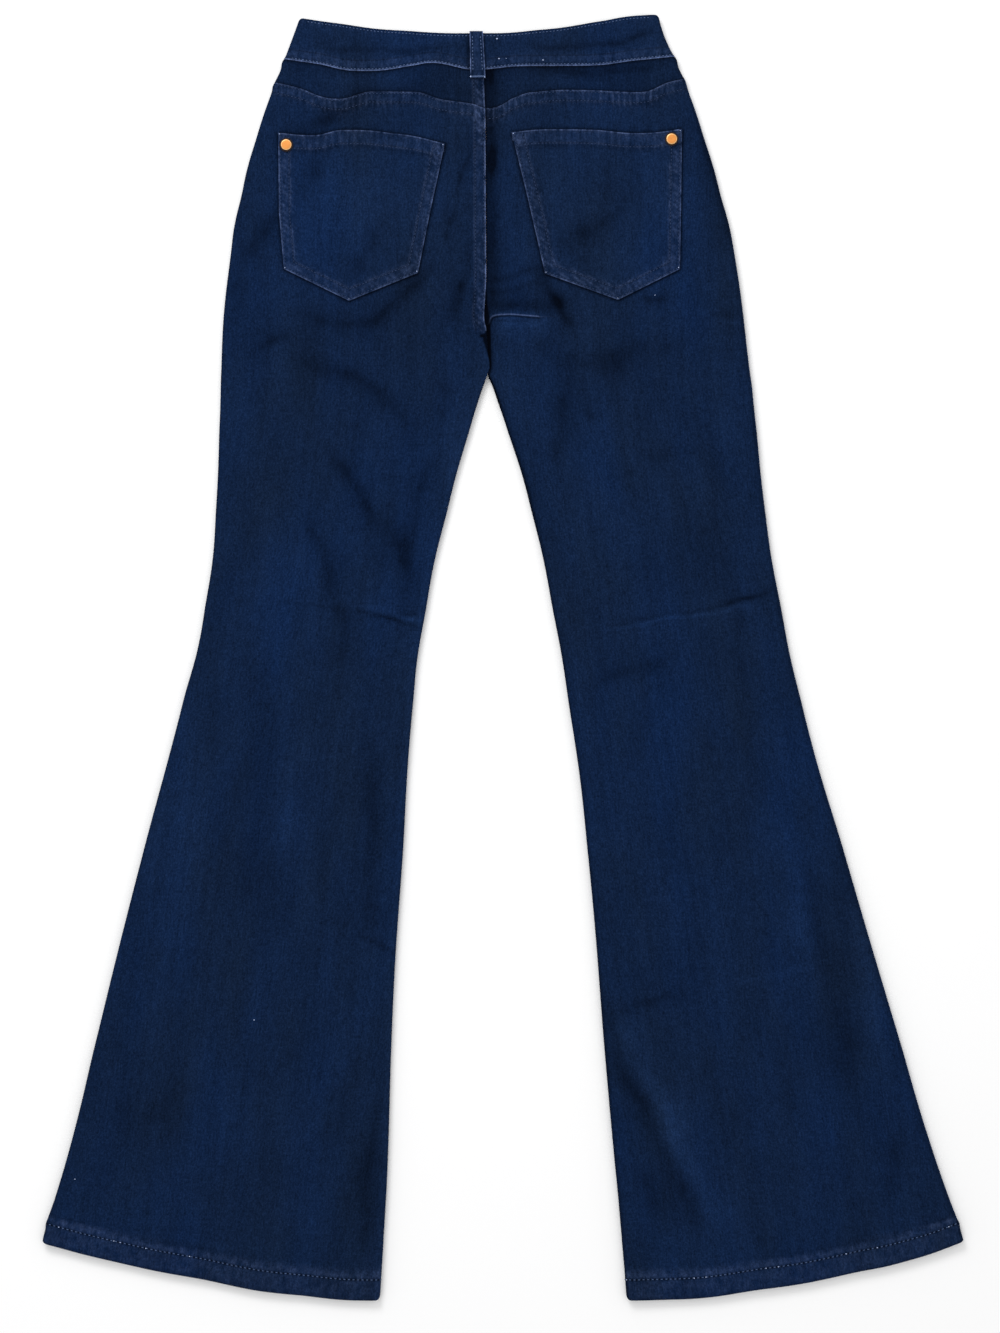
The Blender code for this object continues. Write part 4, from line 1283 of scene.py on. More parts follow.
def outside_hollow(x, y):
    """Distance out from the hollow where the legs part, which the finish paints in shade."""
    nearest = np.full_like(x, AFAR)
    for line in HOLLOWS:
        places = [place[:2] for place in line]
        away, along = along_line(x, y, places)
        reached = run_along(places)
        half = np.interp(along, reached / reached[-1], [place[2] for place in line])
        nearest = np.minimum(nearest, away - half)
    return nearest


def under_lip(x, y):
    """Distance down from the crotch fold's lip, negative above it."""
    away = distance_from(x, y, LIP)
    above = y > chain(LIP, "x", "y")(x)
    return np.where(above, -away, away)


def back_edges(name):
    """The left and right edges of a side's back panel and yoke."""
    if name == "left":
        return side["left"], lambda y: inner("left", y)
    return lambda y: inner("right", y), side["right"]


def spot_on(name, x, y):
    return spot_between(*back_edges(name), x, y)


def back_height(name, x, y):
    """Height of the back panel's plain face under what lies on it."""
    return back_face(spot_on(name, x, y), 0.0, leg_turn(name, y))


def seam_beads(spot):
    """The slanting beads on the centre seam's lap, at its left side."""
    return roping(spot.y - 1.1 * spot.from_right, SEAM_BEAD) * bell(spot.from_right - BEAD_ROW, 2.6)


def leg_lap(name, spot):
    """How far the seams, the hem and their roping stand over a back panel."""
    turn = leg_turn(name, spot.y)
    from_top = yoke_seam(spot.x) - spot.y
    from_hem = spot.y - hem(spot.x)
    from_centre = spot.from_right if name == "left" else AFAR + 0 * spot.x
    top = lap_beside(from_top, FELL_WIDTH)
    bottom = lap_beside(from_hem, HEM_DEPTH)
    centre = lap_beside(from_centre, FELL_WIDTH) * ease(spot.y, SEAM_END - 3, SEAM_END)
    under_seam = bell(np.maximum(from_top - SECOND_ROW, 0.0), 5.0) * (from_top < 24)
    over_hem = bell(from_hem - RIDGE_ROW + 1.5, 4.5) * (from_hem < 34)
    ropes = 0.55 * roping(spot.x, YOKE_BEAD) * under_seam + 0.9 * roping(spot.x, HEM_BEAD) * over_hem
    if name == "left":
        ropes += seam_beads(spot) * centre
    lap = LAP * np.maximum(np.maximum(top, bottom), centre)
    return lap * standing(spot, turn), ropes


def leg_surface(name, spot):
    """Outer height of a back panel."""
    lap, ropes = leg_lap(name, spot)
    rise = lap + pucker() * ropes * standing(spot, leg_turn(name, spot.y))
    return back_face(spot, rise, leg_turn(name, spot.y))


def leg_marks(name, spot):
    """What the finish reads on a back panel."""
    from_top = yoke_seam(spot.x) - spot.y
    from_hem = spot.y - hem(spot.x)
    shade = np.maximum(outside_pocket(pocket_on(name), spot.x, spot.y), -9.0)
    ropes = leg_lap(name, spot)[1]
    near_hem = from_hem < 40
    tone = painted_light_and_shade(spot) + np.where(near_hem, 0.3, 0.45) * ropes
    turn = leg_turn(name, spot.y)
    edge, wear = from_top, 0.45 + 0 * spot.x
    if name == "left":
        in_seat = (spot.y > SEAM_END) & (spot.from_right < from_top)
        edge, wear = np.where(in_seat, spot.from_right, from_top), np.where(in_seat, 1.0, wear)
        tone -= 1.6 * bell(spot.from_left, 1.6)  # painted shade on the turned side edge
        tone += 0.7 * bell(spot.from_right - 2.5, 3.0) * turn.right  # a painted highlight on the cloth beside the inseam
        tone += 0.6 * bell(spot.from_right - 5, 3.0) * bell(spot.y - 264, 11)  # and a painted highlight over the crotch
    else:
        # Painted shade along the centre seam, over the crotch and down the inseam, then painted shade and a
        # painted highlight along the side edge
        shade = np.minimum(shade, np.where(spot.y > CROTCH_Y - 30, spot.from_left * 1.1, AFAR))
        tone -= 1.5 * bell(spot.from_left - 4, 8) * ease(spot.y, 260, 300)
        tone -= 2.2 * bell(spot.from_left, 2.2) * turn.left
        tone -= 1.6 * bell(spot.from_left, 4.0) * bell(spot.y - 268, 26)
        tone -= 1.2 * bell(spot.from_left, 7) * turn.left * ease(spot.y, 70, 150)
        tone -= 1.2 * bell(spot.from_right - 1.8, 1.3)
        tone += 0.8 * bell(spot.from_right, 0.7)
    # Painted shade along the hem's folded edge; the ridge above the hem's stitches gets a painted highlight
    # besides its wear, with a painted shadow line above it
    tone -= 1.6 * bell(from_hem, 1.3)
    ridge = bell(from_hem - RIDGE_ROW, 2.2)
    tone += 0.5 * ridge - 0.7 * bell(from_hem - RIDGE_ROW - 3.6, 1.2)
    tone += 0.35 * roping(spot.x, HEM_BLOTCH) * within((HEM_ROW - from_hem) / 4.0)
    return {
        "edge": np.minimum(edge, AFAR), "wear": wear, "hem": np.minimum(from_hem / HEM_DEPTH, AFAR),
        "shade": shade, "tone": tone, "band": 2.2 * within((HEM_DEPTH + 2.5 - from_hem) / 3.0),
        "sewn": hem_sewn(name, spot.x), "hollow": outside_hollow(spot.x, spot.y),
        "lip": under_lip(spot.x, spot.y) if name == "right" else AFAR,
        "worn": cloth_worn(spot, ropes * (1 - near_hem)) + ridge * (0.13 + 0.05 * ropes),
    }


def hem_row(name):
    """The hem's stitched line."""
    outer, middle = float(side[name](HEM_LEVEL)), float(inseam[name](HEM_LEVEL))
    ends = (outer + 1, middle - 1) if name == "left" else (middle + 1, outer - 1)
    return line_along(hem, *ends, -HEM_ROW)


def hem_sewn(name, x):
    """How many stitches along the hem's line each place is."""
    line = hem_row(name)
    order = np.argsort(line[:, 0])
    return np.interp(x, line[order, 0], run_along(line)[order]) / HEM_PITCH


BACK_COLUMNS = {
    "left": columns(TURN_STEPS, LEG_COLUMNS, LAPPED),
    "right": columns(LAPPED, LEG_COLUMNS, TURN_STEPS),
}


def back_leg(name):
    """A back panel: felled band along the yoke seam, hem, and on the left the lap along the centre seam."""
    lowest, levels = leg_rows("back_step")
    top = [
        (row_at(LEG_TOP_ROW), 6), (under_top(FELL_WIDTH + LAP_STEP), 1),
        (under_top(FELL_WIDTH), 5), (under_top(FOLD), 1), (under_top(0.0), 0),
    ]
    up = rows(*lowest, *levels[:-1], *top)
    across = BACK_COLUMNS[name]
    last_column, last_row = len(across) - 1, len(up) - 1
    seam_columns = (last_column - len(LAPPED) + 1, last_column) if name == "left" else (0, len(LAPPED) - 1)
    first_level = sum(steps for _, steps in lowest)
    seat_row = first_level + next(i for i, (row, _) in enumerate(levels) if row.height > SEAM_ROWS_FROM)
    finer = [
        Finer(0, last_column, 0, first_level - 7, True, 2),
        Finer(0, last_column, last_row - 7, last_row, True, 2),
    ]
    if name == "left":
        finer.append(Finer(*seam_columns, seat_row, last_row - 14, False, 1))
    cut = Cut(*back_edges(name), across, up, top=yoke_seam, bottom=hem_edge)
    return cloth_sheet(
        f"back_leg_{name}", cut,
        lambda spot: leg_surface(name, spot),
        lambda spot: CLOTH + leg_lap(name, spot)[0],
        lambda spot: leg_marks(name, spot), denim_finish("dark denim"),
        facing=leg_outward(name), finer=finer,
    )


def yoke_surface(name, spot):
    """Outer height of a yoke, with the centre seam's lap and roping on the left one."""
    if name == "right":
        return back_face(spot, 0.0, outer_turn(name))
    rise = LAP * lap_beside(spot.from_right, FELL_WIDTH) + pucker() * seam_beads(spot)
    return back_face(spot, rise, outer_turn(name))


def yoke(name):
    """A yoke between the waistband's lower edge and the leg's felled band."""
    is_left = name == "left"

    def marks(spot):
        above_seam = spot.y - yoke_seam(spot.x)
        under_band = band_bottom(spot.x) - spot.y
        shade = np.minimum(above_seam + 0.6, under_band * 1.2)
        # Painted shadow under the waistband, and each yoke darker all over, the right one more
        tone = painted_light_and_shade(spot) - 0.5 * bell(under_band, 6) - (0.45 if is_left else 0.85)
        edge, beads = (spot.from_right, seam_beads(spot)) if is_left else (AFAR, 0.0 * spot.x)
        if not is_left:
            shade = np.minimum(shade, spot.from_left * 0.7)
            # Painted shade beside the centre seam
            tone -= 0.9 * bell(spot.from_left - 4, 8)
        # Paler beads, and painted shade along the turned outer edge
        tone += 0.45 * beads - 1.0 * bell(spot.from_left if is_left else spot.from_right, 1.8)
        return {"edge": edge, "shade": shade, "tone": tone, "worn": cloth_worn(spot, beads)}

    low, high = over_bottom(GAP), under_top(GAP)
    up = rows((low, 16), (high, 0))
    cut = Cut(*back_edges(name), BACK_COLUMNS[name], up, top=band_bottom, bottom=yoke_seam)
    last = len(cut.across) - 1
    return cloth_sheet(
        f"yoke_{name}", cut, lambda spot: yoke_surface(name, spot),
        lambda spot: CLOTH + LAP * lap_beside(spot.from_right if is_left else AFAR, FELL_WIDTH),
        marks, denim_finish("dark denim"),
        facing=lambda spot: outward(spot, outer_turn(name)), finer=[Finer(0, last, 0, 16, True, 1)],
    )


def band_surface(spot):
    """Outer height of the waistband's back, with its edges pressed a little thinner by their sewing."""
    from_top = band_top(spot.x) - spot.y
    from_bottom = spot.y - band_bottom(spot.x)
    near = np.minimum(from_top, from_bottom)
    pressed = 0.25 * bell(near - BAND_ROW, 1.2) + 0.5 * bell(near, 0.7)
    ropes = pucker() * 0.7 * roping(spot.x, BAND_BEAD) * bell(near, 5.0)
    return back_face(spot, BAND_RISE - pressed + ropes, Turn(1.0, 1.0))


def band_finish():
    return denim_finish("dark denim, band", lapped=0.0, even=0.7)


def waistband_back():
    """The back of the waistband in one length."""

    def marks(spot):
        from_top = band_top(spot.x) - spot.y
        from_bottom = spot.y - band_bottom(spot.x)
        loop_middle = (LOOP_LEFT[0].x + LOOP_RIGHT[0].x) / 2
        beside_loop = np.abs(spot.x - loop_middle) - (LOOP_RIGHT[0].x - LOOP_LEFT[0].x) / 2
        beside_loop = np.where(spot.x < loop_middle, 0.6, 1.3) * beside_loop
        ropes = roping(spot.x, BAND_BEAD) * bell(np.minimum(from_top, from_bottom), 5.0)
        tone = painted_light_and_shade(spot) + 0.3 * ropes + 0.35 * (1 - ease(from_bottom, 5, 15)) + 0.1
        # Painted shade along the lower row of sewing, at the turned ends and along the top edge
        tone -= 0.9 * bell(from_bottom - BAND_ROW, 0.9)
        tone -= 1.1 * bell(np.minimum(spot.from_left, spot.from_right), 1.8) + 0.8 * bell(from_top, 1.3)
        return {
            "edge": from_bottom, "shade": beside_loop, "tone": tone, "band": 0.5 * bell(from_bottom, 16),
            "worn": cloth_worn(spot, 0.3 * ropes),
        }

    up = rows((over_bottom(0.0), 24), (under_top(0.0), 0))
    across = columns(TURN_STEPS, 200, TURN_STEPS)
    cut = Cut(side["left"], side["right"], across, up, top=band_top, bottom=band_bottom)
    return cloth_sheet(
        "waistband_back", cut, band_surface, lambda spot: BAND_CLOTH, marks, band_finish(),
        facing=lambda spot: outward(spot, Turn(1.0, 1.0)),
    )


# Distances from the zip's edge to where a front panel has its step down from the fly
OFF_FLY = FLY_LEFT - ZIP_WIDTH / 2 + FLY_CLEARANCE
BESIDE_ZIP = [OFF_FLY, OFF_FLY + FLY_STEP / 2, OFF_FLY + FLY_STEP]


def button_centre():
    x = CENTRE_X - BUTTON_ASIDE
    return Point(x, float((front_band_top(x) + front_band_bottom(x)) / 2))


def waistband_front(name):
    """Half of the front waistband, held off the surface round the button. The ends meet beside it."""
    is_left = name == "left"
    join = CENTRE_X + ZIP_WIDTH / 2
    clear = BUTTON_RADIUS + BUTTON_CLEARANCE
    left = side["left"] if is_left else level(join + GAP / 2)
    right = level(join - GAP / 2) if is_left else side["right"]
    past_zip = ZIP_WIDTH + GAP / 2
    beside_zip = [*np.linspace(0, past_zip, 6), *(past_zip + aside for aside in BESIDE_ZIP)]
    left_columns = columns(TURN_STEPS, 36, beside_zip)
    right_columns = columns([0.0, *BESIDE_ZIP], 40, TURN_STEPS)
    across = left_columns if is_left else right_columns
    turn = outer_turn(name)

    def face(spot):
        distance = np.hypot(spot.x - button_centre().x, spot.y - button_centre().y)
        over_button = 1 - ease(distance, clear, clear + BUTTON_STEP)
        return (BUTTON_HEIGHT + GAP) * over_button + edge_drop(spot, turn)

    def marks(spot):
        edge = np.minimum(front_band_top(spot.x) - spot.y, spot.y - front_band_bottom(spot.x))
        return {"edge": edge, "band": 0.3, "tone": 0.5 * roping(spot.x, BAND_BEAD)}

    up = rows((over_bottom(0.0), 14), (under_top(0.0), 0))
    cut = Cut(left, right, across, up, top=front_band_top, bottom=front_band_bottom)
    return cloth_sheet(
        f"waistband_front_{name}", cut, face, lambda spot: BAND_CLOTH, marks, band_finish(),
        facing=lambda spot: outward(spot, turn), inside=1,
    )


def front_leg(name):
    """A front panel, flat on the surface but where it passes over the fly, with its edges turned up."""
    is_left = name == "left"

    def open_inner(y):
        back = (ZIP_WIDTH + GAP) / 2 * ease(y, FLY_END_Y, FLY_END_Y + 6)
        return plain_inner(name, y) - back if is_left else plain_inner(name, y) + back

    left = side["left"] if is_left else open_inner
    right = open_inner if is_left else side["right"]
    beside = [*TURN_STEPS, *BESIDE_ZIP]
    lowest, levels = leg_rows("front_step")
    top = [(row_at(LEG_TOP_ROW), 6), (under_top(GAP), 0)]

    def face(spot):
        aside = np.abs(spot.x - centre_seam(spot.y))
        past_side = ease(aside, FLY_LEFT + FLY_CLEARANCE, FLY_LEFT + FLY_CLEARANCE + FLY_STEP)
        past_end = ease(FLY_END_Y - spot.y, FLY_CLEARANCE, FLY_CLEARANCE + FLY_STEP)
        over_fly = (1 - past_side) * (1 - past_end)
        return (FLY_CLOTH + GAP) * over_fly + edge_drop(spot, leg_turn(name, spot.y))

    def wall(spot):
        in_hem = lap_beside(spot.y - hem(spot.x), HEM_DEPTH)
        return CLOTH + LAP * in_hem * standing(spot, leg_turn(name, spot.y))

    def marks(spot):
        from_hem = spot.y - hem(spot.x)
        tone = 0.9 * roping(spot.x + 3.0, FRONT_HEM_BEAD) * bell(np.maximum(from_hem - HEM_DEPTH, 0.0), 3.5)
        return {"hem": from_hem / HEM_DEPTH, "tone": tone, "band": within((HEM_DEPTH + 2.5 - from_hem) / 3.0)}

    first, last = (TURN_STEPS, beside) if is_left else (beside, TURN_STEPS)
    cut = Cut(
        left, right, columns(first, 34, last), rows(*lowest, *levels[:-1], *top),
        top=front_band_bottom, bottom=hem_edge,
    )
    return cloth_sheet(
        f"front_leg_{name}", cut, face, wall, marks, denim_finish("dark denim"),
        facing=leg_outward(name), inside=1,
    )


def pocket_rise(from_sides, from_top):
    """How far a pocket's face stands over the back panel, fuller in the middle and thicker at its hem."""
    swell = POCKET_SWELL * ease(from_sides, 10, 40) * ease(from_top, 0, 40)
    return GAP + CLOTH + LAP * lap_beside(from_top, POCKET_HEM) + swell


def back_pocket(pocket):
    """A five-sided patch that lies on the back panel's own shape."""
    left, right, top, bottom = pocket_edges(pocket)
    low_left, low_right = pocket.left_edge[-1], pocket.right_edge[-1]
    point_share = (pocket.point.x - low_left.x) / (low_right.x - low_left.x)
    shares = [*np.linspace(0, point_share, 50), *np.linspace(point_share, 1, 50)[1:]]
    hem_start = under_top(POCKET_HEM + LAP_STEP)
    up = rows((over_bottom(0.0), 84), (hem_start, 1), (under_top(POCKET_HEM), 9), (under_top(0.0), 0))
    cut = Cut(left, right, [Column(share, 0.0) for share in shares], up, top=top, bottom=bottom)
    corners = pocket_corners(pocket)

    def from_sides(spot):
        return distance_from(spot.x, spot.y, corners)

    def ropes(spot):
        aside = from_sides(spot)
        along = spot.x + 1.3 * spot.y
        from_top = top(spot.x) - spot.y
        sides = roping(along, POCKET_BEAD) * (bell(aside - BEAD_ROW, 2.4) + 0.5 * bell(aside - 11.0, 2.2))
        under_hem = bell(np.maximum(from_top - POCKET_HEM, 0.0), 3.0)
        return sides + 0.4 * roping(spot.x, POCKET_HEM_BEAD) * under_hem

    def rise(spot):
        aside = np.minimum(from_sides(spot), top(spot.x) - spot.y)
        pressed = 0.35 * bell(aside, 0.9) + 0.2 * bell(from_sides(spot) - SECOND_ROW, 0.9)
        plain = pocket_rise(from_sides(spot), top(spot.x) - spot.y)
        return plain + pucker() * ropes(spot) - pressed

    def face(spot):
        return back_height(pocket.side, spot.x, spot.y) + rise(spot)

    def wall(spot):
        return rise(spot) - GAP + SEATED

    def marks(spot):
        from_top = top(spot.x) - spot.y
        edge = np.minimum(from_sides(spot), np.where(from_top < 3.2, from_top, AFAR))
        tone = painted_light_and_shade(spot) + 0.4 * ropes(spot) + 0.25
        # Painted shadow under the pocket's hem
        tone -= 0.8 * bell(from_top - POCKET_HEM - 2.0, 1.6)
        in_hem = within((POCKET_HEM - from_top) / 1.5)
        return {
            "edge": edge, "hem": from_top / POCKET_HEM, "tone": tone,
            "band": 1.1 * in_hem + 0.4 * within((10.5 - from_sides(spot)) / 1.5),
            "worn": cloth_worn(spot, 0.7 * ropes(spot)) + 0.10 * bell(from_top - POCKET_HEM_ROW, 0.7),
        }

    return cloth_sheet(
        f"back_pocket_{pocket.side}", cut, face, wall, marks,
        denim_finish("dark denim, pocket", worn=0.46),
    )


def loop_frame():
    """The belt loop's edges, the height where it starts to turn over the waistband, and its turn's end."""
    left, right = chain(LOOP_LEFT, "y", "x"), chain(LOOP_RIGHT, "y", "x")
    band_edge = float(band_top((LOOP_LEFT[0].x + LOOP_RIGHT[0].x) / 2))
    return left, right, band_edge, band_edge - GAP


def loop_surface(spot):
    """Outer height of the loop: over the band with a little slack, and tacked down at its lower end."""
    band_edge, turn_y = loop_frame()[2:]
    bottom = LOOP_LEFT[-1].y
    over_band = lie(spot.x, np.minimum(spot.y, band_edge)) + BAND_RISE + LOOP_CLOTH + GAP
    slack = LOOP_SLACK * np.sin(math.pi * within((turn_y - spot.y) / (turn_y - bottom)))
    height_of_turn = LOOP_RADIUS * (np.sqrt(1 - within((spot.y - turn_y) / LOOP_RADIUS) ** 2) - 1)
    edge = np.minimum(spot.from_left, spot.from_right)
    crown = 0.25 * ease(edge, 0, 1.2) - 0.2 * bell(edge - LOOP_ROW, 0.7)
    tack = 0.5 * bell(spot.y - bottom - 1.5, 1.4)
    return over_band + slack + height_of_turn + crown - tack


def belt_loop():
    """A strap over the waistband, turned over its top edge and sewn down on the yoke."""
    left, right, _, turn_y = loop_frame()
    steps = [turn_y + LOOP_RADIUS * math.cos(math.radians(angle)) for angle in range(0, 91, 15)]
    straight = [row_at(y) for y in np.linspace(LOOP_LEFT[-1].y, turn_y, 30)[:-1]]
    up = straight + [row_at(y) for y in reversed(steps)]

    def facing(spot):
        forward = within((spot.y - turn_y) / LOOP_RADIUS)
        return np.stack([0 * forward, forward, np.sqrt(1 - forward**2)], axis=1)

    def marks(spot):
        edge = np.minimum(spot.from_left, spot.from_right)
        # Paler roping, and painted shade along the rows of sewing
        tone = 0.5 + 0.5 * roping(spot.y, LOOP_BEAD) - bell(edge - LOOP_ROW, 0.8)
        return {"edge": edge + 0.25, "tone": tone, "band": 0.3}

    edge_steps = [0.0, 0.6, 1.2, 1.8, 2.4, 3.0, 3.6]
    cut = Cut(left, right, columns(edge_steps, 4, edge_steps), up)
    return cloth_sheet(
        "belt_loop_back", cut, loop_surface, lambda spot: LOOP_CLOTH, marks,
        denim_finish("dark denim, loop", worn=0.9), facing=facing,
    )


def fly():
    """The lap that covers the zip: straight at its free edge and round at its lower end."""
    left = float(centre_seam(FLY_END_Y)) - FLY_LEFT
    right = float(centre_seam(FLY_END_Y)) + FLY_RIGHT

    def lower_end(x):
        share = FLY_ROUNDING * within((right - x) / (right - left))
        return FLY_END_Y + FLY_LEFT * (1 - np.sqrt(1 - share**2))

    up = rows((over_bottom(0.0), 30), (under_top(GAP), 0))
    across = columns([0.0, 1.0, 2.0], 16, [0.0])
    cut = Cut(level(left), level(right), across, up, top=front_band_bottom, bottom=lower_end)
    return cloth_sheet(
        "fly", cut, lambda spot: 0.0, lambda spot: FLY_CLOTH,
        lambda spot: {"edge": spot.from_right}, denim_finish("dark denim"), inside=1,
    )


def zip_tape():
    """The zip's tape, between the front panels' edges."""
    half = (ZIP_WIDTH - GAP) / 2
    up = rows((row_at(FLY_END_Y + ZIP_LIFT), 24), (under_top(GAP), 0))
    left, right = level(CENTRE_X - half), level(CENTRE_X + half)
    cut = Cut(left, right, columns([0.0], 10, [0.0]), up, top=front_band_bottom)
    finish = thread_finish("zip tape", bpy.context.scene.jeans_trim.tape)
    return cloth_sheet(
        "zip_tape", cut, lambda spot: FLY_CLOTH + GAP, lambda spot: ZIP_CLOTH,
        lambda spot: {}, finish, inside=1, nodes=["zip"],
    )


def shapes_piece(name, finishes, nodes, make):
    """A piece made in one mesh of many small shapes."""
    shapes = bmesh.new()
    make(shapes)
    return add_piece(name, smooth_mesh(name, shapes), finishes, nodes)


def zip_teeth():
    """The closed teeth: two rows of small blocks that lock into each other."""
    pitch = mm(bpy.context.scene.jeans_trim.teeth_pitch)
    top = float(front_band_bottom(CENTRE_X)) - 2.0
    low = FLY_CLOTH + GAP + ZIP_CLOTH

    def make(shapes):
        for i, y in enumerate(np.arange(FLY_END_Y + ZIP_LIFT + 4, top, pitch / 2)):
            aside = TOOTH_ASIDE if i % 2 else -TOOTH_ASIDE
            size = Vector((TOOTH_ACROSS, pitch * TOOTH_SHARE, ZIP_RIB)) * MM
            middle = Vector((CENTRE_X + aside, y, low + ZIP_RIB / 2)) * MM
            bmesh.ops.create_cube(shapes, size=1.0, matrix=Matrix.LocRotScale(middle, None, size))

    metal = metal_finish("zip teeth", (0.5, 0.36, 0.2), 0.4)
    return shapes_piece("zip_teeth", [metal], [], make)


def turned_shape(shapes, profile, centre, height, steps, zones=()):
    """A round piece: the profile, from the axis at the top down its outer side, spun round.

    Past each zone's radius it has the next finish.
    """
    start = len(shapes.faces)
    points = [shapes.verts.new((radius * MM, 0.0, z * MM)) for radius, z in profile]
    edges = [shapes.edges.new(pair) for pair in zip(points, points[1:])]
    bmesh.ops.spin(
        shapes, geom=points + edges, cent=(0, 0, 0), axis=(0, 0, 1), dvec=(0, 0, 0),
        angle=2 * math.pi, steps=steps, use_merge=True, use_duplicate=False,
    )
    bmesh.ops.remove_doubles(shapes, verts=shapes.verts[:], dist=0.000002)
    bmesh.ops.recalc_face_normals(shapes, faces=shapes.faces[:])
    for face in list(shapes.faces)[start:]:
        middle = face.calc_center_median()
        face.material_index = sum(math.hypot(middle.x, middle.y) > radius * MM for radius in zones)
    bmesh.ops.translate(shapes, verts=shapes.verts[:], vec=Vector((centre.x, centre.y, height)) * MM)


def rivet(name):
    """A plain copper rivet with a softly domed face, its rim painted paler as a highlight, over a dark foot
    painted as the shadow round it.
    """
    spot = RIVETS[name]
    trim = bpy.context.scene.jeans_trim
    seat = float(back_height(name, np.array([float(spot.x)]), np.array([spot.y]))[0]) + GAP + CLOTH + LAP
    seat += RIVET_SEAT
    high = mm(trim.rivet_height) + GAP
    face, foot = RIVET_FACE, RIVET_FOOT
    profile = [
        (0.0, high), (face * 0.35, high * 0.99), (face * 0.66, high * 0.97), (face * 0.84, high * 0.93),
        (face * 0.94, high * 0.84), (face, high * 0.6), (face, high * 0.34), (face + 0.3, high * 0.28),
        (foot - 0.3, high * 0.24), (foot, 0.05), (foot, -0.2), (0.0, -0.2),
    ]
    return shapes_piece(
        f"pocket_rivet_{name}",
        [
            metal_finish("copper", trim.copper, 0.62), metal_finish("copper rim", trim.rim, 0.5),
            metal_finish("burnt copper", trim.burnt, 0.9, metallic=0.0),
        ],
        [f"rivet_{name}"],
        lambda shapes: turned_shape(shapes, profile, spot, seat, 40, zones=(face * 0.84, face * 1.005)),
    )


def waist_button():
    """The button's cap, face down on the surface, with a plain ring inside its rim."""
    rim, high = BUTTON_RADIUS, BUTTON_HEIGHT
    profile = [
        (0.0, high), (rim - 0.8, high), (rim - 0.3, high - 0.1), (rim, high - 0.4), (rim, 0.45),
        (rim - 0.2, 0.15), (rim - 0.6, 0.0), (rim - 1.6, 0.0), (rim - 2.0, 0.15), (rim - 2.4, 0.4),
        (rim - 4.0, 0.42), (rim - 4.3, 0.22), (rim - 4.9, 0.22), (rim - 5.2, 0.42), (0.0, 0.45),
    ]
    copper = metal_finish("copper button", bpy.context.scene.jeans_trim.copper, 0.42)
    return shapes_piece(
        "button_cap", [copper], ["waist_button"],
        lambda shapes: turned_shape(shapes, profile, button_centre(), 0.0, 48),
    )


def add_stitch(shapes, start, end, thickness):
    """One stitch: a small rounded thread between two places, half sunk in the cloth."""
    middle, reach = (start + end) / 2, end - start
    turn = reach.to_track_quat("X", "Z")
    size = Vector((reach.length / 2, thickness / 2, thickness / 2))
    place = Matrix.LocRotScale(middle * MM, turn, size * MM)
    bmesh.ops.create_uvsphere(shapes, u_segments=6, v_segments=4, radius=1.0, matrix=place)


def sewn_line(shapes, points, surface, pitch=None, stitch=None):
    """Stitches along a line of (x, y) points, laid on a surface that gives their height."""
    sewing = bpy.context.scene.jeans_sewing
    pitch, stitch, thickness = pitch or mm(sewing.pitch), stitch or mm(sewing.stitch), mm(sewing.thickness)
    points = np.array(points, float)
    reached = run_along(points)
    starts = np.arange(pitch / 2, reached[-1] - stitch, pitch)
    ends = starts + stitch
    places = []
    for where in (starts, ends):
        x, y = np.interp(where, reached, points[:, 0]), np.interp(where, reached, points[:, 1])
        places.append(np.stack([x, y, surface(x, y)], axis=1))
    line = bmesh.new()
    for start, end in zip(*places):
        add_stitch(line, Vector(start), Vector(end), thickness)
    join(shapes, line)


def join(shapes, others):
    """Moves the other shapes in with the first ones."""
    mesh = bpy.data.meshes.new("joined")
    others.to_mesh(mesh)
    others.free()
    shapes.from_mesh(mesh)
    bpy.data.meshes.remove(mesh)


def bar_tack(shapes, x, y, angle, length, width, surface):
    """A dense bar of threads laid side by side, across its length."""
    along = Vector((math.cos(angle), math.sin(angle), 0.0))
    across = Vector((-along.y, along.x, 0.0))
    count = round(length / 0.55)
    bar = bmesh.new()
    for i in range(count):
        middle = Vector((x, y, 0.0)) + along * (length * ((i + 0.5) / count - 0.5))
        ends = [middle + across * (width / 2 * way) + along * (0.2 * way) for way in (-1, 1)]
        for end in ends:
            end.z = float(surface(np.array([end.x]), np.array([end.y]))[0]) + 0.1
        add_stitch(bar, *ends, 0.55)
    join(shapes, bar)


LINE_POINTS = 160
FOLLOW_STEP = 1.0  # between two points of a line that follows a patch's surface


def line_along(edge, start, end, depth):
    """Points along an edge that is a height along x, moved down by a depth."""
    x = np.linspace(start, end, LINE_POINTS)
    return np.stack([x, edge(x) - depth], axis=1)


def inset_corners(corners, depth):
    """The run of corners, moved to its left by a depth, with the corners mitred."""
    corners = np.array(corners, float)
    ahead = np.diff(corners, axis=0)
    ahead /= np.hypot(*ahead.T)[:, None]
    normal = np.stack([-ahead[:, 1], ahead[:, 0]], axis=1)
    before, after = np.vstack([normal[:1], normal]), np.vstack([normal, normal[-1:]])
    mitre = (before + after) / (1 + np.sum(before * after, axis=1))[:, None]
    return corners + mitre * depth


def smooth_line(corners):
    """A line with points close together, for following a surface."""
    corners = np.array(corners, float)
    reached = run_along(corners)
    where = np.arange(0, reached[-1], FOLLOW_STEP)
    return np.stack([np.interp(where, reached, corners[:, i]) for i in (0, 1)], axis=1)


def on_panel(name, surface, sunk=SUNK):
    """Height of a thread's middle on a surface of one side's back panel or yoke."""
    return lambda x, y: surface(name, spot_on(name, x, y)) - sunk


def on_band(x, y):
    return band_surface(spot_between(side["left"], side["right"], x, y)) - SUNK


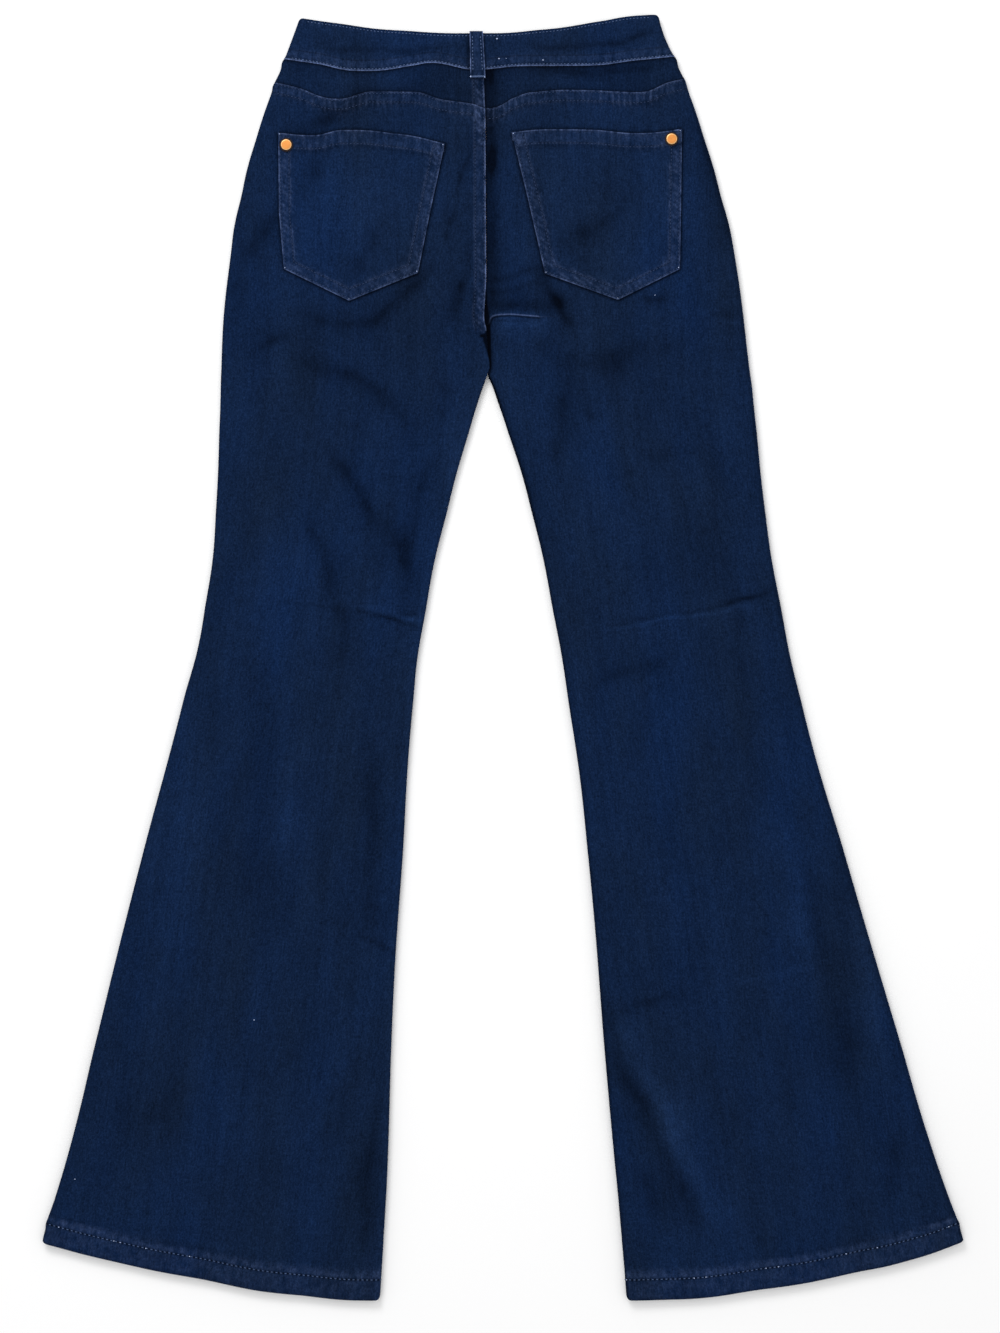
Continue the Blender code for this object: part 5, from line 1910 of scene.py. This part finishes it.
def on_loop(x, y):
    return loop_surface(spot_between(*loop_frame()[:2], x, y)) - SUNK_LOOP


def on_front(x, y):
    return FRONT_ROW_Z + 0.0 * x


def sew_seat(shapes):
    """Two rows along the yoke seams, and two down the centre seam."""
    for name in SIDES:
        outer, middle = side[name](500.0), float(inner(name, 480.0))
        ends = (outer + 3, middle - 1) if name == "left" else (middle + 1, outer - 3)
        for depth in (FIRST_ROW, SECOND_ROW):
            sewn_line(shapes, line_along(yoke_seam, *ends, depth), on_panel(name, leg_surface))
    for depth in (FIRST_ROW, SECOND_ROW):
        for top, bottom, surface in ((514.0, 489.0, yoke_surface), (484.0, 292.0, leg_surface)):
            y = np.linspace(top, bottom, LINE_POINTS)
            sewn_line(shapes, np.stack([inner("left", y) - depth, y], axis=1), on_panel("left", surface))


def sew_hems(shapes):
    """One row round each hem, back and front."""
    for name in SIDES:
        line = hem_row(name)
        sewn_line(shapes, line, on_panel(name, leg_surface, SUNK_THICK), HEM_PITCH, HEM_STITCH)
        sewn_line(shapes, line[2:-2], on_front, HEM_PITCH, HEM_STITCH)


def sew_pockets(shapes):
    """Two rows round each pocket's sides, one along its hem, and bar tacks at its top corners."""
    for pocket in POCKETS:
        top, corners = curve(pocket.top), pocket_corners(pocket)

        def surface(x, y):
            rise = pocket_rise(distance_from(x, y, corners), top(x) - y)
            return back_height(pocket.side, x, y) + rise - SUNK_THICK

        for depth in (FIRST_ROW, SECOND_ROW):
            sewn_line(shapes, smooth_line(inset_corners(corners, -depth)), surface)
        ends = pocket.top[0].x + 3, pocket.top[-1].x - 3
        sewn_line(shapes, line_along(top, *ends, POCKET_HEM_ROW), surface)
        for corner, way in ((pocket.top[0], 1), (pocket.top[-1], -1)):
            bar_tack(shapes, corner.x + way * 1.4, corner.y - 4.5, math.pi / 2, 6.0, 1.6, surface)


def sew_band(shapes):
    """A row along each edge of the band, two down the loop, and the tack at its lower end."""
    sewn_line(shapes, line_along(band_top, -174, 131, BAND_ROW), on_band)
    sewn_line(shapes, line_along(band_bottom, -188, 148, -FIRST_ROW), on_band)
    left, right = loop_frame()[:2]
    y = np.linspace(548.0, 514.0, 60)
    for x in (left(y) + LOOP_ROW, right(y) - LOOP_ROW):
        sewn_line(shapes, np.stack([x, y], axis=1), on_loop)
    low = LOOP_LEFT[-1].y
    bar_tack(shapes, (left(low) + right(low)) / 2, low + 1.4, 0.03, 12.0, 1.8, on_loop)


def sew_front(shapes):
    """A row along each edge of the front band's halves, and the curved row that holds the fly."""
    for start, end in ((-166, -28), (16, 123)):
        for edge, depth in ((front_band_top, BAND_ROW), (front_band_bottom, -BAND_ROW)):
            sewn_line(shapes, line_along(edge, start, end, depth), on_front)
    y = np.linspace(470.0, FLY_END_Y + 30, 120)
    x = CENTRE_X - FLY_ROW + 14 * ease(FLY_END_Y + 60 - y, 0, 45) ** 2
    sewn_line(shapes, np.stack([x, y], axis=1), on_front)


def outer_height(x, y):
    """Height of whatever lies uppermost at a place."""
    x, y = np.array([float(x)]), np.array([float(y)])
    name = "left" if x[0] < CENTRE_X else "right"
    spot = spot_between(*loop_frame()[:2], x, y)
    if min(spot.from_left[0], spot.from_right[0]) > 0 and y[0] > LOOP_LEFT[-1].y:
        height = loop_surface(spot)
    elif y[0] > band_bottom(x)[0]:
        height = band_surface(spot_between(side["left"], side["right"], x, y))
    elif outside_pocket(pocket_on(name), x, y)[0] < 0:
        height = back_height(name, x, y) + GAP + CLOTH + LAP
    else:
        height = leg_surface(name, spot_on(name, x, y))
    return float(height[0])


class JEANS_OT_back_legs(bpy.types.Operator):
    """Cut and lay the two back panels"""

    bl_idname = "jeans.back_legs"
    bl_label = "Back Legs"

    def execute(self, context):
        for name in SIDES:
            back_leg(name)
        return {"FINISHED"}


class JEANS_OT_front_legs(bpy.types.Operator):
    """Cut and lay the two front panels, which the jeans lie on"""

    bl_idname = "jeans.front_legs"
    bl_label = "Front Legs"

    def execute(self, context):
        for name in SIDES:
            front_leg(name)
        return {"FINISHED"}


class JEANS_OT_yokes(bpy.types.Operator):
    """Cut and lay the two shaped yokes"""

    bl_idname = "jeans.yokes"
    bl_label = "Yokes"

    def execute(self, context):
        for name in SIDES:
            yoke(name)
        return {"FINISHED"}


class JEANS_OT_waistband(bpy.types.Operator):
    """Cut and lay the waistband, back and front"""

    bl_idname = "jeans.waistband"
    bl_label = "Waistband"

    def execute(self, context):
        for name in SIDES:
            waistband_front(name)
        waistband_back()
        return {"FINISHED"}


class JEANS_OT_pockets(bpy.types.Operator):
    """Cut and lay the patch pockets"""

    bl_idname = "jeans.pockets"
    bl_label = "Back Pockets"

    def execute(self, context):
        for pocket in POCKETS:
            back_pocket(pocket)
        return {"FINISHED"}


class JEANS_OT_belt_loop(bpy.types.Operator):
    """Lay the belt loop over the waistband"""

    bl_idname = "jeans.belt_loop"
    bl_label = "Belt Loop"

    def execute(self, context):
        belt_loop()
        return {"FINISHED"}


class JEANS_OT_closure(bpy.types.Operator):
    """Make the fly, the zip and the waist button"""

    bl_idname = "jeans.closure"
    bl_label = "Closure"

    def execute(self, context):
        teeth = zip_teeth()
        fly()
        zip_tape()
        waist_button()
        return {"FINISHED"}


class JEANS_OT_rivets(bpy.types.Operator):
    """Set the rivets at the pockets' outer corners"""

    bl_idname = "jeans.rivets"
    bl_label = "Rivets"

    def execute(self, context):
        for name in RIVETS:
            rivet(name)
        return {"FINISHED"}


class JEANS_OT_sewing(bpy.types.Operator):
    """Sew the seams, hems and pockets"""

    bl_idname = "jeans.sewing"
    bl_label = "Sewing"

    def execute(self, context):
        sewing = context.scene.jeans_sewing
        thread, tonal = thread_finish("thread", sewing.thread), thread_finish("tonal thread", sewing.tonal)
        for name, sew, yarn in (
            ("seat_sewing", sew_seat, tonal), ("hem_sewing", sew_hems, thread),
            ("pocket_sewing", sew_pockets, tonal), ("band_sewing", sew_band, thread),
            ("front_sewing", sew_front, tonal),
        ):
            shapes_piece(name, [yarn], [], sew)
        return {"FINISHED"}


class JEANS_OT_specks(bpy.types.Operator):
    """Add the loose thread ends and lint"""

    bl_idname = "jeans.specks"
    bl_label = "Thread Ends and Lint"

    def execute(self, context):
        def make(shapes):
            bright = [Speck("hem", x, float(hem(x)) + HEM_ROW, 1.0) for x in BRIGHT_STITCHES]
            for speck in SPECKS + bright:
                height = outer_height(speck.x, speck.y) + SPECK_LIFT
                size = Vector((speck.size / 2, speck.size / 2.2, SPECK_HALF)) * MM
                matrix = Matrix.LocRotScale(Vector((speck.x, speck.y, height)) * MM, None, size)
                bmesh.ops.create_icosphere(shapes, subdivisions=2, radius=1.0, matrix=matrix)

        white = thread_finish("white thread", context.scene.jeans_sewing.tacking)
        shapes_piece("thread_ends", [white], [], make)
        return {"FINISHED"}


# The middle of the camera's view, on the surface
VIEW_X = -2.86
VIEW_Y = -7.7
SENSOR = 36.0
KEY_PLACE = (-1.0, 2.1, 1.7)  # the light's place and its two sides, in metres
KEY_SIDES = (1.6, 1.0)
FLOOR_SIZE = 6.0
FLOOR_DROP = 0.0004  # the floor lies just under the cloth, so that the two don't flicker


class JEANS_OT_stage(bpy.types.Operator):
    """Set up the floor, the soft light and the camera"""

    bl_idname = "jeans.stage"
    bl_label = "Stage"

    def execute(self, context):
        scene, settings = context.scene, context.scene.jeans_stage
        grid = bmesh.new()
        bmesh.ops.create_grid(grid, x_segments=1, y_segments=1, size=FLOOR_SIZE / 2)
        bmesh.ops.translate(grid, verts=grid.verts[:], vec=(0.0, 0.0, -FLOOR_DROP))
        mesh = bpy.data.meshes.new("floor")
        grid.to_mesh(mesh)
        grid.free()
        floor = bpy.data.objects.new("floor", mesh)
        scene.collection.objects.link(floor)
        floor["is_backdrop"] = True
        paper = Finish("floor", Roughness=0.9, Specular_IOR_Level=0.1)
        place = paper.node("ShaderNodeTexCoord", {}).outputs["Object"]
        paper.set("Base Color", paper.dimmed((*settings.floor,), 0.99 + paper.noise(place, 2.0, 2.0) * 0.02))
        mesh.materials.append(paper.material)

        world = bpy.data.worlds.new("studio")
        world.use_nodes = True
        sky = world.node_tree.nodes["Background"]
        sky.inputs["Color"].default_value = (1.0, 1.0, 1.0, 1.0)
        sky.inputs["Strength"].default_value = settings.sky
        scene.world = world

        light = bpy.data.lights.new("key", "AREA")
        light.shape = "RECTANGLE"
        light.size, light.size_y = KEY_SIDES
        light.energy = settings.key
        key = bpy.data.objects.new("key", light)
        key.location = KEY_PLACE
        key.rotation_euler = (-key.location).to_track_quat("-Z", "Y").to_euler()
        scene.collection.objects.link(key)

        lens = bpy.data.cameras.new("camera")
        lens.lens = settings.lens
        lens.sensor_width = SENSOR
        camera = bpy.data.objects.new("camera", lens)
        height = settings.frame_height * settings.lens / SENSOR
        camera.location = (VIEW_X * MM, VIEW_Y * MM, height + LIE * MM)
        scene.collection.objects.link(camera)
        scene.camera = camera
        scene.view_settings.view_transform = "Standard"
        return {"FINISHED"}


SETTINGS = {
    "jeans_denim": DenimSettings,
    "jeans_sewing": SewingSettings,
    "jeans_trim": TrimSettings,
    "jeans_stage": StageSettings,
}
OPERATORS = [
    JEANS_OT_stage, JEANS_OT_front_legs, JEANS_OT_back_legs, JEANS_OT_yokes, JEANS_OT_waistband,
    JEANS_OT_pockets, JEANS_OT_belt_loop, JEANS_OT_closure, JEANS_OT_rivets, JEANS_OT_sewing,
    JEANS_OT_specks,
]


class JEANS_PT_panel(bpy.types.Panel):
    """The jeans' settings and steps"""

    bl_idname = "JEANS_PT_panel"
    bl_label = "Flared Jeans"
    bl_space_type = "VIEW_3D"
    bl_region_type = "UI"
    bl_category = "Jeans"

    def draw(self, context):
        for group, kind in SETTINGS.items():
            box = self.layout.box()
            for key in kind.__annotations__:
                box.prop(getattr(context.scene, group), key)
        for step in OPERATORS:
            self.layout.operator(step.bl_idname)


def register():
    for kind in (*SETTINGS.values(), *OPERATORS, JEANS_PT_panel):
        bpy.utils.register_class(kind)
    for group, kind in SETTINGS.items():
        setattr(bpy.types.Scene, group, PointerProperty(type=kind))


def unregister():
    for group in SETTINGS:
        delattr(bpy.types.Scene, group)
    for kind in reversed((*SETTINGS.values(), *OPERATORS, JEANS_PT_panel)):
        bpy.utils.unregister_class(kind)


def main():
    register()
    for step in OPERATORS:
        group, name = step.bl_idname.split(".")
        getattr(getattr(bpy.ops, group), name)()
    boxes = {"cad": CAD_BOX, "scene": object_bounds()}
    {key: [list(corner) for corner in box] for key, box in boxes.items()}


if __name__ == "__main__":
    main()
